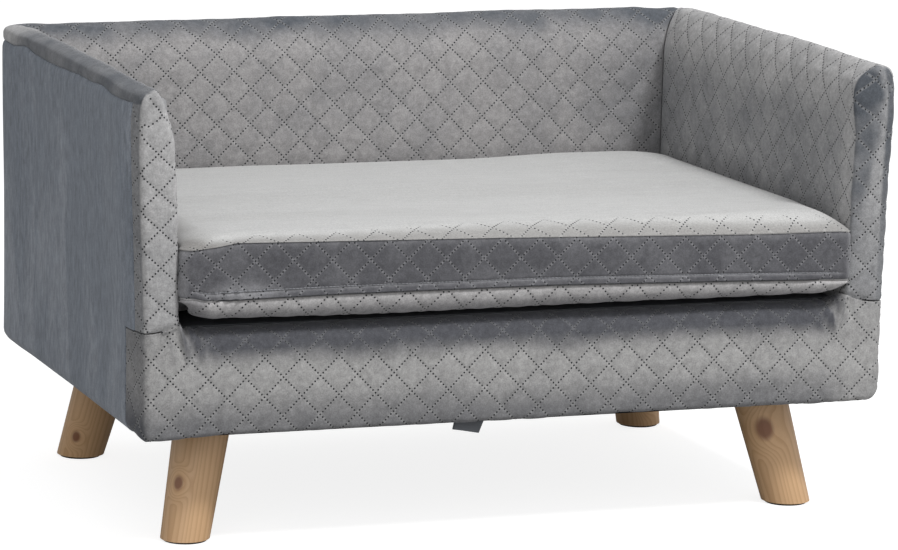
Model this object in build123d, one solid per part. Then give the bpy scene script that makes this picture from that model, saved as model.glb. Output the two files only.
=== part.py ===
from build123d import *
import math
import os

# A small upholstered sofa for a dog: a padded box with two arms, a back and a front rail on
# four splayed wooden legs, and a loose seat cushion whose zipped cover opens under a flap.
# Millimetres, +X to the right as seen from the front, -Y to the front, +Z up. Left and right
# are named as seen from the front. The origin is on the floor under the middle of the body.

# Whole body, measured over its covers
body_width = 685.0
body_depth = 475.0
body_height = 308.0
leg_height = 103.0
rail_height = 93.0
side_seam_drop = 23.0

# Layers of the padded walls
cover_thickness = 1.5
wadding_thickness = 4.0
board_thickness = 12.0
arm_foam_thickness = 14.0
back_foam_thickness = 21.0
top_foam_thickness = 18.0
front_foam_thickness = 10.0
rail_board_thickness = 15.0
rail_top_foam_thickness = 5.0
dust_cover_thickness = 0.8

# Roundings of the padded walls
roll_outer_radius = 12.0
roll_inner_radius = 65.0
rear_corner_radius = 14.0
front_corner_radius = 6.0
arm_front_inner_radius = 10.0
arm_front_top_radius = 14.0
rail_top_radius = 14.0
rail_bottom_radius = 5.0
seam_wrap = 8.0
rail_wrap = 38.0

# Deck that the cushion lies on
deck_board_thickness = 12.0
deck_pad_thickness = 3.0
deck_cloth_thickness = 1.0
cleat_width = 18.0

# Legs and what holds them
leg_inset_x = 77.5
leg_inset_y = 83.5
leg_splay = 22.0
leg_top_diameter = 50.0
leg_foot_diameter = 43.0
glide_diameter = 38.0
glide_thickness = 2.0
leg_block_width = 90.0
leg_block_depth = 100.0
leg_block_thickness = 22.0
bolt_diameter = 8.0
bolt_length_in_leg = 35.0
bolt_end_above_nut = 3.0
bolt_end_chamfer = 0.8
nut_barrel_diameter = 10.0
nut_barrel_length = 9.0
nut_flange_diameter = 22.0
nut_flange_thickness = 1.5
hole_clearance = 0.05
passing_clearance = 0.5

# Countersunk screws that join the boards
screw_diameter = 4.0
screw_head_diameter = 8.0
screw_head_height = 2.4
screw_length = 40.0
rail_screw_height_shares = (0.3, 0.75)
back_screw_height_shares = (0.1, 0.5, 0.9)

# Seat cushion
cushion_height = 67.5
cushion_crown = 11.0
cushion_setback = 6.0
cushion_side_gap = 1.0
cushion_rest_gap = 0.3
cushion_corner_radius = 26.0
cushion_edge_round = 14.0
cushion_side_draw = 2.0
crown_edge_inset = 11.0
crown_edge_rise = 6.5
foam_gap = 0.3
side_level_shares = (0.0, 0.028, 0.104, 0.207, 0.6, 0.85, 1.0)
side_inset_shares = (1.0, 0.5, 0.134, 0.0, 0.0, 0.05, 0.18)
side_draw_shares = (1.0, 0.75, 0.25, 0.0, 0.0, 0.4, 1.0)

# Zip of the cushion cover: ends counted in from the cushion's sides, depths back from its front
zip_height = 26.2
zip_end_setback = 46.5
zip_end_space = 6.0
flap_thickness = 2.2
flap_below_zip = 3.5
flap_above_zip = 4.5
flap_wrap = 30.0
slit_gap = 0.5
pull_swing_space = 2.2
pull_thickness = 0.8
pull_length = 11.0
pull_width = 3.6
pull_window_width = 2.0
pull_window_length = 3.2
slider_length = 9.0
slider_width = 6.4
slider_plate_thickness = 0.8
slider_post_width = 0.9
slider_post_length = 2.2
slider_lip_width = 0.7
bridge_width = 1.4
bridge_span = 5.2
bridge_thickness = 0.5
bridge_gap = 0.3
coil_height = 1.5
coil_thickness = 1.5
coil_split = 1.4
tape_thickness = 0.5
tape_width = 5.8
stop_length = 2.5
stop_width = 4.8
zip_running_gap = 0.3

# Blank care tag sewn in under the front rail
tag_width = 28.0
tag_drop = 11.0
tag_short_drop = 6.5
tag_lean = 6.0
tag_thickness = 0.5
tag_centre_x = -41.0
tag_setback = 20.0

# One overrun serves every cut
overrun = 5.0

# Middle of a quarter arc along each of its axes, as a share of its radius
diagonal_share = math.sqrt(0.5)

# Places worked out from the sizes above
half_width = body_width / 2
half_depth = body_depth / 2
top_z = leg_height + body_height
rail_seam_z = leg_height + rail_height
side_seam_z = top_z - side_seam_drop
cover_bottom_z = leg_height + dust_cover_thickness
board_bottom_z = cover_bottom_z + cover_thickness
board_top_z = top_z - cover_thickness - top_foam_thickness
padding_outside = cover_thickness + wadding_thickness
wall_without_foam = padding_outside + board_thickness
arm_thickness = wall_without_foam + arm_foam_thickness + cover_thickness
back_thickness = wall_without_foam + back_foam_thickness + cover_thickness
rail_padding = cover_thickness + front_foam_thickness
rail_thickness = rail_padding + rail_board_thickness
rail_board_top_z = rail_seam_z - cover_thickness - rail_top_foam_thickness
deck_cloth_z = rail_seam_z - deck_cloth_thickness
deck_pad_z = deck_cloth_z - deck_pad_thickness
deck_board_z = deck_pad_z - deck_board_thickness
inner_half_width = half_width - arm_thickness
board_inner_x = half_width - wall_without_foam
board_inner_y = half_depth - wall_without_foam
rail_back_y = -half_depth + rail_thickness
back_front_y = half_depth - back_thickness


def block(x_low, x_high, y_low, y_high, z_low, z_high):
    """Box between six planes."""
    centre = Pos((x_low + x_high) / 2, (y_low + y_high) / 2, (z_low + z_high) / 2)
    return centre * Box(x_high - x_low, y_high - y_low, z_high - z_low)


def upright_rod(x, y, z_low, z_high, diameter):
    """Vertical cylinder between two heights."""
    return Pos(x, y, (z_low + z_high) / 2) * Cylinder(diameter / 2, z_high - z_low)


def roll_section(plane, thickness, inset):
    """Upright section of a padded wall with its rolled top, outer skin at the plane's origin."""
    small = roll_outer_radius - inset
    large = roll_inner_radius - inset
    spread = roll_inner_radius - roll_outer_radius
    turn = math.acos((roll_inner_radius - thickness + roll_outer_radius) / spread)
    crown_z = top_z - roll_outer_radius
    large_x = thickness - roll_inner_radius
    large_z = crown_z - spread * math.sin(turn)

    def on_small(angle):
        return (roll_outer_radius + small * math.cos(angle), crown_z + small * math.sin(angle))

    def on_large(angle):
        return (large_x + large * math.cos(angle), large_z + large * math.sin(angle))

    foot_z = cover_bottom_z + inset
    outer_foot = (inset, foot_z)
    inner_foot = (thickness - inset, foot_z)
    edges = [
        Line(outer_foot, on_small(math.pi)),
        ThreePointArc(on_small(math.pi), on_small((math.pi + turn) / 2), on_small(turn)),
        ThreePointArc(on_small(turn), on_large(turn / 2), on_large(0)),
        Line(on_large(0), inner_foot),
        Line(inner_foot, outer_foot),
    ]
    return plane * make_face(Curve() + edges)


def rounded_plan(x_low, x_high, y_low, y_high, radii):
    """Upright prism over a plan, its corner radii in turn from the front low X one to the rear."""
    corners = ((x_low, y_low), (x_high, y_low), (x_high, y_high), (x_low, y_high))
    plan = make_face(Polyline(*corners, close=True))
    for corner, radius in zip(corners, radii):
        if radius > 0:
            nearest = plan.vertices().sort_by_distance((corner[0], corner[1], 0))[0]
            plan = fillet(nearest, radius)
    return extrude(plan, top_z + overrun)


def arm_front_prism(inset):
    """Prism across the sofa with the rounded upper front corner of the arm."""
    face = Plane.YZ * make_face(
        Polyline(
            (-half_depth + inset, 0),
            (half_depth + overrun, 0),
            (half_depth + overrun, top_z - inset),
            (-half_depth + inset, top_z - inset),
            close=True,
        )
    )
    corner = face.vertices().sort_by_distance((0, -half_depth, top_z))[0]
    return extrude(fillet(corner, arm_front_top_radius - inset), half_width, both=True)


def back_zone():
    """Prism over the plan of the back, cut to mitres at both rear corners."""
    plan = Polyline(
        (-half_width - arm_thickness, half_depth + back_thickness),
        (-inner_half_width, back_front_y),
        (inner_half_width, back_front_y),
        (half_width + arm_thickness, half_depth + back_thickness),
        close=True,
    )
    return extrude(make_face(plan), top_z + overrun)


def arm_form(inset):
    """Left arm as a solid, drawn in by a layer, down to the body's underside and above the rail."""
    plane = Plane(origin=(-half_width, 0, 0), x_dir=(1, 0, 0), z_dir=(0, -1, 0))
    wall = extrude(roll_section(plane, arm_thickness, inset), half_depth, both=True)
    plan = rounded_plan(
        -half_width + inset,
        -inner_half_width + overrun,
        -half_depth + inset,
        half_depth - inset,
        (front_corner_radius - inset, 0, 0, rear_corner_radius - inset),
    )
    nose = rounded_plan(
        -half_width - overrun,
        -inner_half_width - inset,
        -half_depth + inset,
        half_depth + overrun,
        (0, arm_front_inner_radius - inset, 0, 0),
    )
    under_deck = block(
        -half_width + wall_without_foam, 0, -half_depth - overrun, half_depth + overrun, 0, deck_pad_z
    )
    over_rail = block(-half_width - overrun, 0, -half_depth - overrun, rail_back_y, 0, rail_seam_z)
    return (wall & plan & nose & arm_front_prism(inset)) - under_deck - over_rail - back_zone()


def back_form(inset):
    """Back as a solid, drawn in by a layer, with mitred ends."""
    plane = Plane(origin=(0, half_depth, 0), x_dir=(0, -1, 0), z_dir=(-1, 0, 0))
    wall = extrude(roll_section(plane, back_thickness, inset), half_width, both=True)
    radius = rear_corner_radius - inset
    plan = rounded_plan(
        -half_width + inset,
        half_width - inset,
        0,
        half_depth - inset,
        (0, 0, radius, radius),
    )
    under_deck = block(-half_width, half_width, 0, board_inner_y, 0, deck_pad_z)
    return (wall & plan & back_zone()) - under_deck


def rail_form(inset):
    """Front rail as a solid, drawn in by a layer, its top edge rounded between the arms."""
    radius = front_corner_radius - inset
    plan = rounded_plan(
        -half_width + inset,
        half_width - inset,
        -half_depth + inset,
        rail_back_y,
        (radius, radius, 0, 0),
    )
    front_y = -half_depth + inset
    low_z = cover_bottom_z + inset
    high_z = rail_seam_z - inset
    band = block(-half_width, half_width, front_y, rail_back_y, low_z, high_z)
    lower_edges = band.edges().filter_by(Axis.X).group_by(Axis.Z)[0]
    band = fillet(lower_edges.sort_by(Axis.Y)[0], rail_bottom_radius - inset)
    top_radius = rail_top_radius - inset
    nose = block(
        -inner_half_width,
        inner_half_width,
        front_y - overrun,
        front_y + top_radius,
        high_z - top_radius,
        high_z + overrun,
    )
    rod = Pos(0, front_y + top_radius, high_z - top_radius) * Rot(0, 90, 0)
    rod = rod * Cylinder(top_radius, body_width)
    return (plan & band) - (nose - rod)


def side_zone():
    """Space of the plain cover on the left side, up to its seams at the top and the front corner."""
    return block(
        -half_width - overrun,
        -half_width + wall_without_foam,
        -half_depth + seam_wrap,
        half_depth + overrun,
        0,
        side_seam_z,
    )


def rail_wrap_zone():
    """Space in which the rail's quilted cover wraps round the front corner onto the left side."""
    return block(
        -half_width - overrun,
        -half_width + wall_without_foam,
        -half_depth - overrun,
        -half_depth + rail_wrap,
        0,
        rail_seam_z,
    )


def rear_zone():
    """Space of the plain rear cover, up to its seam at the top."""
    return block(
        -half_width - overrun, half_width + overrun, board_inner_y, half_depth + overrun, 0, side_seam_z
    )


def boards():
    """Wooden boards of the frame, before their screws."""
    arm = block(
        -half_width + padding_outside,
        -board_inner_x,
        -half_depth + rail_padding,
        board_inner_y,
        board_bottom_z,
        board_top_z,
    )
    arm = arm - block(-half_width, 0, -half_depth, rail_back_y, 0, rail_seam_z)
    end_x = half_width - padding_outside
    return {
        "left_arm_board": arm,
        "right_arm_board": mirror(arm, Plane.YZ),
        "back_board": block(
            -end_x, end_x, board_inner_y, half_depth - padding_outside, board_bottom_z, board_top_z
        ),
        "front_rail_board": block(
            -end_x, end_x, -half_depth + rail_padding, rail_back_y, board_bottom_z, rail_board_top_z
        ),
        "deck_board": block(
            -board_inner_x, board_inner_x, rail_back_y, board_inner_y, deck_board_z, deck_pad_z
        ),
    }


def screw(x, y, z, turn):
    """Countersunk screw with its head's face at a point, driven along Y one way or the other."""
    shank_length = screw_length - screw_head_height
    head = Pos(0, 0, -screw_head_height / 2) * Cone(
        screw_diameter / 2, screw_head_diameter / 2, screw_head_height
    )
    shank = Pos(0, 0, -screw_head_height - shank_length / 2) * Cylinder(screw_diameter / 2, shank_length)
    return Pos(x, y, z) * Rot(turn, 0, 0) * (head + shank)


def screws():
    """Screws through the rail and the back into the ends of the arm boards."""
    x = half_width - padding_outside - board_thickness / 2
    rail_y = -half_depth + rail_padding
    back_y = half_depth - padding_outside
    rail_span = rail_board_top_z - board_bottom_z
    back_span = board_top_z - board_bottom_z
    found = []
    for side in (-x, x):
        for share in rail_screw_height_shares:
            found.append(screw(side, rail_y, board_bottom_z + share * rail_span, 90))
        for share in back_screw_height_shares:
            found.append(screw(side, back_y, board_bottom_z + share * back_span, -90))
    return found


def waddings():
    """Thin wadding under the plain outer covers."""
    left = arm_form(cover_thickness) & block(
        -half_width,
        -half_width + padding_outside,
        -half_depth + rail_padding,
        half_depth,
        0,
        side_seam_z,
    )
    rear = back_form(cover_thickness) & block(
        -half_width, half_width, half_depth - padding_outside, half_depth, 0, side_seam_z
    )
    return {
        "left_side_wadding": left,
        "right_side_wadding": mirror(left, Plane.YZ),
        "rear_wadding": rear,
    }


def foams(frame_boards, wadding_pads):
    """Foam round the arm boards, the back board and the rail board."""

    def pad(form, names):
        for name in names:
            form = form - (frame_boards | wadding_pads)[name]
        return form

    left = pad(
        arm_form(cover_thickness),
        ("left_arm_board", "back_board", "front_rail_board", "left_side_wadding"),
    )
    back = pad(
        back_form(cover_thickness),
        ("left_arm_board", "right_arm_board", "back_board", "rear_wadding"),
    )
    return {
        "left_arm_foam": left,
        "right_arm_foam": mirror(left, Plane.YZ),
        "back_foam": back,
        "front_rail_foam": pad(rail_form(cover_thickness), ("front_rail_board",)),
    }


def covers():
    """Sewn covers: quilted velvet inside, on top and in front, plain velvet outside."""
    arm_skin = arm_form(0) - arm_form(cover_thickness)
    back_skin = back_form(0) - back_form(cover_thickness)
    rail_skin = rail_form(0) - rail_form(cover_thickness)
    left_cover = arm_skin - side_zone()
    left_side = (arm_skin & side_zone()) - rail_wrap_zone()
    left_wrap = arm_skin & rail_wrap_zone()
    return {
        "left_arm_cover": left_cover,
        "right_arm_cover": mirror(left_cover, Plane.YZ),
        "back_cover": back_skin - rear_zone(),
        "front_rail_cover": rail_skin + left_wrap + mirror(left_wrap, Plane.YZ),
        "left_side_cover": left_side,
        "right_side_cover": mirror(left_side, Plane.YZ),
        "rear_cover": back_skin & rear_zone(),
    }


def deck():
    """Pad and cloth on the deck board, and the battens that carry the board."""

    def layer(low_z, high_z):
        return block(-inner_half_width, inner_half_width, rail_back_y, back_front_y, low_z, high_z)

    cleat = block(
        -board_inner_x,
        -board_inner_x + cleat_width,
        rail_back_y,
        board_inner_y,
        deck_board_z - cleat_width,
        deck_board_z,
    )
    return {
        "left_deck_cleat": cleat,
        "right_deck_cleat": mirror(cleat, Plane.YZ),
        "deck_pad": layer(deck_pad_z, deck_cloth_z),
        "deck_cloth": layer(deck_cloth_z, rail_seam_z),
    }


def leg_places():
    """Name of each corner, and the signs of its X and Y."""
    for y_name, y_sign in (("front", -1), ("rear", 1)):
        for x_name, x_sign in (("left", -1), ("right", 1)):
            yield f"{y_name}_{x_name}", x_sign, y_sign


def leg(x_sign, y_sign):
    """Turned leg, tapered and splayed, both ends cut level, with the blind hole of its bolt."""
    x = x_sign * (half_width - leg_inset_x)
    y = y_sign * (half_depth - leg_inset_y)
    down = Vector(x_sign * leg_splay, y_sign * leg_splay, glide_thickness - leg_height)
    spare = leg_top_diameter / 2
    widening = (leg_top_diameter - leg_foot_diameter) / 2 * spare / down.length
    turned = Cone(
        leg_top_diameter / 2 + widening, leg_foot_diameter / 2 - widening, down.length + 2 * spare
    )
    middle = Plane(origin=Vector(x, y, leg_height) + down / 2, z_dir=down)
    span = block(-half_width, half_width, -half_depth, half_depth, glide_thickness, leg_height)
    stem = (middle * turned) & span
    hole = upright_rod(
        x, y, leg_height - bolt_length_in_leg, leg_height + overrun, bolt_diameter + hole_clearance * 2
    )
    return stem - hole


def glide(x_sign, y_sign):
    """Round glide under a leg."""
    x = x_sign * (half_width - leg_inset_x + leg_splay)
    y = y_sign * (half_depth - leg_inset_y + leg_splay)
    return upright_rod(x, y, 0, glide_thickness, glide_diameter)


def bolt(x_sign, y_sign):
    """Hanger bolt from the leg up through the block and its tee nut."""
    x = x_sign * (half_width - leg_inset_x)
    y = y_sign * (half_depth - leg_inset_y)
    end_z = cover_bottom_z + leg_block_thickness + nut_flange_thickness + bolt_end_above_nut
    rod = upright_rod(x, y, leg_height - bolt_length_in_leg, end_z, bolt_diameter)
    return chamfer(rod.edges().filter_by(GeomType.CIRCLE), bolt_end_chamfer)


def tee_nut(x_sign, y_sign):
    """Tee nut: a flange on the block with a barrel down into it."""
    x = x_sign * (half_width - leg_inset_x)
    y = y_sign * (half_depth - leg_inset_y)
    seat_z = cover_bottom_z + leg_block_thickness
    flange = upright_rod(x, y, seat_z, seat_z + nut_flange_thickness, nut_flange_diameter)
    barrel = upright_rod(x, y, seat_z - nut_barrel_length, seat_z, nut_barrel_diameter)
    bore = upright_rod(x, y, 0, top_z, bolt_diameter + hole_clearance * 2)
    return flange + barrel - bore


def leg_block(x_sign, y_sign):
    """Wooden block in a corner of the base, bored for the tee nut and the bolt."""
    x = x_sign * (half_width - leg_inset_x)
    y = y_sign * (half_depth - leg_inset_y)
    wall_y = board_inner_y if y_sign > 0 else -rail_back_y
    high_z = cover_bottom_z + leg_block_thickness
    x_ends = sorted((x_sign * board_inner_x, x_sign * (board_inner_x - leg_block_width)))
    y_ends = sorted((y_sign * wall_y, y_sign * (wall_y - leg_block_depth)))
    wood = block(*x_ends, *y_ends, cover_bottom_z, high_z)
    barrel_hole = upright_rod(
        x, y, high_z - nut_barrel_length, high_z + overrun, nut_barrel_diameter + hole_clearance * 2
    )
    bolt_hole = upright_rod(x, y, 0, high_z, bolt_diameter + passing_clearance)
    return wood - barrel_hole - bolt_hole


def dust_cover():
    """Thin cloth closing the underside, with the four holes of the leg bolts."""
    end_x = half_width - seam_wrap
    end_y = half_depth - seam_wrap
    sheet = block(-end_x, end_x, -end_y, end_y, leg_height, cover_bottom_z)
    for _, x_sign, y_sign in leg_places():
        x = x_sign * (half_width - leg_inset_x)
        y = y_sign * (half_depth - leg_inset_y)
        sheet = sheet - upright_rod(x, y, 0, top_z, bolt_diameter + passing_clearance)
    return sheet


def care_tag():
    """Blank tag that hangs askew under the front rail."""
    low_x = tag_centre_x - tag_width / 2
    high_x = tag_centre_x + tag_width / 2
    outline = Polyline(
        (low_x, leg_height),
        (high_x, leg_height),
        (high_x - tag_lean, leg_height - tag_drop),
        (low_x - tag_lean / 2, leg_height - tag_short_drop),
        close=True,
    )
    plane = Plane(origin=(0, -half_depth + tag_setback, 0), x_dir=(1, 0, 0), z_dir=(0, -1, 0))
    return extrude(plane * make_face(outline), -tag_thickness)


# Places of the cushion and its zip
cushion_half_width = inner_half_width - cushion_side_gap
cushion_front_y = -half_depth + cushion_setback
cushion_rear_y = back_front_y - cushion_side_gap
cushion_bottom_z = rail_seam_z + cushion_rest_gap
cushion_seam_z = cushion_bottom_z + cushion_height
zip_half_length = cushion_half_width - zip_end_setback
zip_z = cushion_bottom_z + zip_height
boxing_low_z = zip_z + flap_above_zip
flap_low_z = zip_z - flap_below_zip
lower_high_z = flap_low_z - slit_gap
pull_y = cushion_front_y + flap_thickness + pull_swing_space
plate_y = pull_y + pull_thickness + bridge_gap
coil_y = plate_y + slider_plate_thickness + zip_running_gap
tape_y = coil_y + coil_thickness
back_plate_y = tape_y + tape_thickness + zip_running_gap
groove_y = back_plate_y + slider_plate_thickness + zip_running_gap
slider_rest_x = zip_half_length - stop_length - zip_running_gap - slider_length / 2


def cushion_outline(z, inset, draw, radius):
    """Closed outline of the cushion at a height, its sides drawn in a little between the corners."""
    low_x, high_x = -cushion_half_width + inset, cushion_half_width - inset
    low_y, high_y = cushion_front_y + inset, cushion_rear_y - inset
    middle_y = (low_y + high_y) / 2
    bend = radius * (1 - diagonal_share)
    corners = (
        ((low_x, low_y + radius), (low_x + bend, low_y + bend), (low_x + radius, low_y)),
        ((high_x - radius, low_y), (high_x - bend, low_y + bend), (high_x, low_y + radius)),
        ((high_x, high_y - radius), (high_x - bend, high_y - bend), (high_x - radius, high_y)),
        ((low_x + radius, high_y), (low_x + bend, high_y - bend), (low_x, high_y - radius)),
    )
    middles = (
        (0, low_y + draw),
        (high_x - draw, middle_y),
        (0, high_y - draw),
        (low_x + draw, middle_y),
    )
    edges = []
    for number, corner in enumerate(corners):
        following = corners[(number + 1) % len(corners)]
        edges.append(ThreePointArc(*corner))
        if draw > 0:
            edges.append(ThreePointArc(corner[2], middles[number], following[0]))
        else:
            edges.append(Line(corner[2], following[0]))
    return Pos(0, 0, z) * make_face(Curve() + edges)


def cushion_sides(inset):
    """Boxing and underside of the cushion as a loft, drawn in by a layer."""
    low_z = cushion_bottom_z + inset
    span = cushion_seam_z - low_z
    sections = []
    for level, share, draw in zip(side_level_shares, side_inset_shares, side_draw_shares):
        drawn_in = inset + share * cushion_edge_round
        radius = cushion_corner_radius - inset
        sections.append(
            cushion_outline(low_z + level * span, drawn_in, draw * cushion_side_draw, radius)
        )
    return loft(sections, ruled=True)


def crown_section(plane, low, high, inset):
    """Upright section of the crown: a rounded edge at both ends and one long arc between them."""
    edge_z = cushion_seam_z + crown_edge_rise - inset
    bend = crown_edge_inset * (1 - diagonal_share)
    bend_z = cushion_seam_z + (crown_edge_rise - inset) * diagonal_share
    start, end = (low, cushion_seam_z), (high, cushion_seam_z)
    rise, fall = (low + crown_edge_inset, edge_z), (high - crown_edge_inset, edge_z)
    edges = [
        ThreePointArc(start, (low + bend, bend_z), rise),
        ThreePointArc(rise, ((low + high) / 2, cushion_seam_z + cushion_crown - inset), fall),
        ThreePointArc(fall, (high - bend, bend_z), end),
        Line(end, start),
    ]
    return plane * make_face(Curve() + edges)


def cushion_crown_form(inset):
    """Domed top of the cushion above its seam, drawn in by a layer."""
    drawn_in = inset + side_inset_shares[-1] * cushion_edge_round
    draw = side_draw_shares[-1] * cushion_side_draw
    outline = cushion_outline(cushion_seam_z, drawn_in, draw, cushion_corner_radius - inset)
    half = cushion_half_width - drawn_in
    across = crown_section(Plane.XZ, -half, half, inset)
    along = crown_section(Plane.YZ, cushion_front_y + drawn_in, cushion_rear_y - drawn_in, inset)
    pillow = extrude(across, half_depth, both=True) & extrude(along, half_width, both=True)
    return pillow & extrude(outline, cushion_crown)


def zip_band(low_z, high_z):
    """Space at the front and the front corners between two heights."""
    reach = cushion_half_width + overrun
    front_y = cushion_front_y - overrun
    return block(-reach, reach, front_y, cushion_front_y + flap_wrap, low_z, high_z)


def cushion_pieces():
    """Foam, sewn cover and flap of the cushion."""
    skin = cushion_sides(0) - cushion_sides(cover_thickness)
    reach = body_width
    above = block(-reach, reach, -reach, reach, boxing_low_z, top_z)
    core_inset = cover_thickness + foam_gap
    foam = cushion_sides(core_inset) + cushion_crown_form(core_inset)
    flap_form = cushion_sides(0) - cushion_sides(flap_thickness)
    flap_room = zip_band(lower_high_z, boxing_low_z) - cushion_sides(flap_thickness + foam_gap)
    groove = block(
        -zip_half_length - zip_end_space,
        zip_half_length + zip_end_space,
        cushion_front_y - overrun,
        groove_y,
        zip_z - coil_split / 2 - tape_width,
        zip_z + coil_split / 2 + tape_width,
    )
    return {
        "cushion_foam": foam - groove - flap_room,
        "cushion_top_cover": cushion_crown_form(0) - cushion_crown_form(cover_thickness),
        "cushion_boxing": skin & above,
        "cushion_lower_cover": skin - above - zip_band(lower_high_z, boxing_low_z),
        "zip_flap": flap_form & zip_band(flap_low_z, boxing_low_z),
    }


def zip_chain():
    """Tapes, coils and end stops of the zip, the coils a slider post's width apart."""
    end = zip_half_length
    coil_end = end - stop_length
    low_z = zip_z + coil_split / 2
    tape = block(-end, end, tape_y, tape_y + tape_thickness, low_z, low_z + tape_width)
    coil = block(-coil_end, coil_end, coil_y, tape_y, low_z, low_z + coil_height)
    across = Plane(origin=(0, 0, zip_z), z_dir=(0, 0, 1))
    stop = block(coil_end, end, coil_y, tape_y, zip_z - stop_width / 2, zip_z + stop_width / 2)
    return {
        "zip_upper_tape": tape,
        "zip_lower_tape": mirror(tape, across),
        "zip_upper_coil": coil,
        "zip_lower_coil": mirror(coil, across),
        "zip_stops": Compound([stop, mirror(stop, Plane.YZ)]),
    }


def zip_slider():
    """Slider: two plates joined by a post, lips round the coils and a bridge for the pull."""
    x_low = slider_rest_x - slider_length / 2
    x_high = slider_rest_x + slider_length / 2
    half = slider_width / 2
    plate_back = plate_y + slider_plate_thickness
    back_end = back_plate_y + slider_plate_thickness
    plate = block(x_low, x_high, plate_y, plate_back, zip_z - half, zip_z + half)
    back_plate = block(x_low, x_high, back_plate_y, back_end, zip_z - half, zip_z + half)
    post = block(
        x_high - slider_post_length,
        x_high,
        plate_back,
        back_plate_y,
        zip_z - slider_post_width / 2,
        zip_z + slider_post_width / 2,
    )
    lip_low_z = zip_z + half - slider_lip_width
    lip = block(x_low, x_high, plate_back, tape_y - zip_running_gap, lip_low_z, zip_z + half)
    bridge_back = pull_y - bridge_gap
    bridge = block(
        slider_rest_x - bridge_span / 2,
        slider_rest_x + bridge_span / 2,
        bridge_back - bridge_thickness,
        plate_y,
        zip_z - bridge_width / 2,
        zip_z + bridge_width / 2,
    )
    eye = block(
        slider_rest_x - bridge_span / 2 + slider_plate_thickness,
        slider_rest_x + bridge_span / 2 - slider_plate_thickness,
        bridge_back,
        plate_y,
        zip_z - bridge_width,
        zip_z + bridge_width,
    )
    lips = lip + mirror(lip, Plane(origin=(0, 0, zip_z), z_dir=(0, 0, 1)))
    return plate + back_plate + post + lips + (bridge - eye)


def zip_pull():
    """Pull tab, its bar held under the slider's bridge and its tab flat along the zip."""
    bar_end = slider_rest_x + pull_thickness / 2
    half = pull_width / 2
    tab = block(
        bar_end - pull_length, bar_end, pull_y, pull_y + pull_thickness, zip_z - half, zip_z + half
    )
    window_end = bar_end - pull_thickness
    window = block(
        window_end - pull_window_length,
        window_end,
        pull_y - overrun,
        pull_y + overrun,
        zip_z - pull_window_width / 2,
        zip_z + pull_window_width / 2,
    )
    return tab - window


def legs_and_fittings():
    """Four legs with their blocks, bolts, nuts and glides."""
    nodes = {}
    groups = {"hanger_bolts": bolt, "tee_nuts": tee_nut, "leg_glides": glide}
    for corner, x_sign, y_sign in leg_places():
        nodes[f"{corner}_leg"] = leg(x_sign, y_sign)
        nodes[f"{corner}_leg_block"] = leg_block(x_sign, y_sign)
    for name, make in groups.items():
        nodes[name] = Compound([make(x_sign, y_sign).solid() for _, x_sign, y_sign in leg_places()])
    return nodes


def build():
    """Every node of the sofa by name."""
    frame_boards = boards()
    wadding_pads = waddings()
    foam_pads = foams(frame_boards, wadding_pads)
    frame_screws = screws()
    for name in ("left_arm_board", "right_arm_board", "back_board", "front_rail_board"):
        for one in frame_screws:
            frame_boards[name] = frame_boards[name] - one
    nodes = frame_boards | wadding_pads | foam_pads | covers() | deck() | legs_and_fittings()
    nodes["dust_cover"] = dust_cover()
    nodes["frame_screws"] = Compound([one.solid() for one in frame_screws])
    nodes["care_tag"] = care_tag()
    nodes |= cushion_pieces() | zip_chain()
    nodes["zip_slider"] = zip_slider()
    nodes["zip_pull"] = zip_pull()
    return nodes


os.makedirs("parts", exist_ok=True)
for name, shape in build().items():
    export_step(shape, f"parts/{name}.step")
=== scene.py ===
"""Looks of a small quilted velvet dog sofa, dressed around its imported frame.

Sizes in the classes are millimetres in the frame's own axes: +X to the right as seen from the
front, -Y to the front, +Z up. Meshes are made in those sizes and stored in metres.
"""
import itertools
import logging
import math
from collections.abc import Callable
from dataclasses import dataclass, field
from enum import Enum, IntEnum

import bmesh
import bpy
import numpy as np
from mathutils import Matrix, Vector
from mathutils.bvhtree import BVHTree


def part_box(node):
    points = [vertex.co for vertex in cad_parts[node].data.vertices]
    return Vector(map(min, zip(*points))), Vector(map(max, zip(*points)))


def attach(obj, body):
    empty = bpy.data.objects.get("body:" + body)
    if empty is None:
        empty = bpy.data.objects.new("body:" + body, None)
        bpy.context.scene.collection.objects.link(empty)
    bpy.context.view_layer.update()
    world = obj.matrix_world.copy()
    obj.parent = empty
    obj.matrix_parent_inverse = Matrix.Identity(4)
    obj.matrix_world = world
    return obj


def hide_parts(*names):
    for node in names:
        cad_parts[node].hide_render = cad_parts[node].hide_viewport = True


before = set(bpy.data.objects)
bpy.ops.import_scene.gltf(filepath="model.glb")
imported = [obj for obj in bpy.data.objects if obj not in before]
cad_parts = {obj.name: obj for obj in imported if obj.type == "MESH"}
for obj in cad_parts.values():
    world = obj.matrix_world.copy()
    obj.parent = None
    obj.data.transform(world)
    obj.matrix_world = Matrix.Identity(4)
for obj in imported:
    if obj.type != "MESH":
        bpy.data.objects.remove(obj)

Array = np.ndarray
Node, Tree, Material, Mesh, Piece = (
    bpy.types.Node, bpy.types.NodeTree, bpy.types.Material, bpy.types.Mesh, bpy.types.Object)
Source = Node | bpy.types.NodeSocket
MM = 0.001
# The last attribute holds the pile's nap together with painted shade and painted highlights.
QUILT_MAP, OPEN, NAP_AND_LIGHT = "quilt", "open_holes", "pile_nap_and_painted_light"
log = logging.getLogger("dog_sofa")
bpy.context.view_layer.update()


class Side(Enum):
    """Which side of the sofa a piece is on, as seen from the front; the value is the sign of X."""

    LEFT = -1
    RIGHT = 1

    @property
    def word(self) -> str:
        """The side's name as it stands in the names of pieces."""
        return self.name.lower()


class Nap(Enum):
    """How the pile has been brushed: how its patches stretch along X, Y and Z."""

    PATCHES = (1.0, 1.0, 1.0)
    UPRIGHT = (1.0, 1.0, 0.36)
    CROSSWISE = (0.25, 1.0, 1.0)


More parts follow.
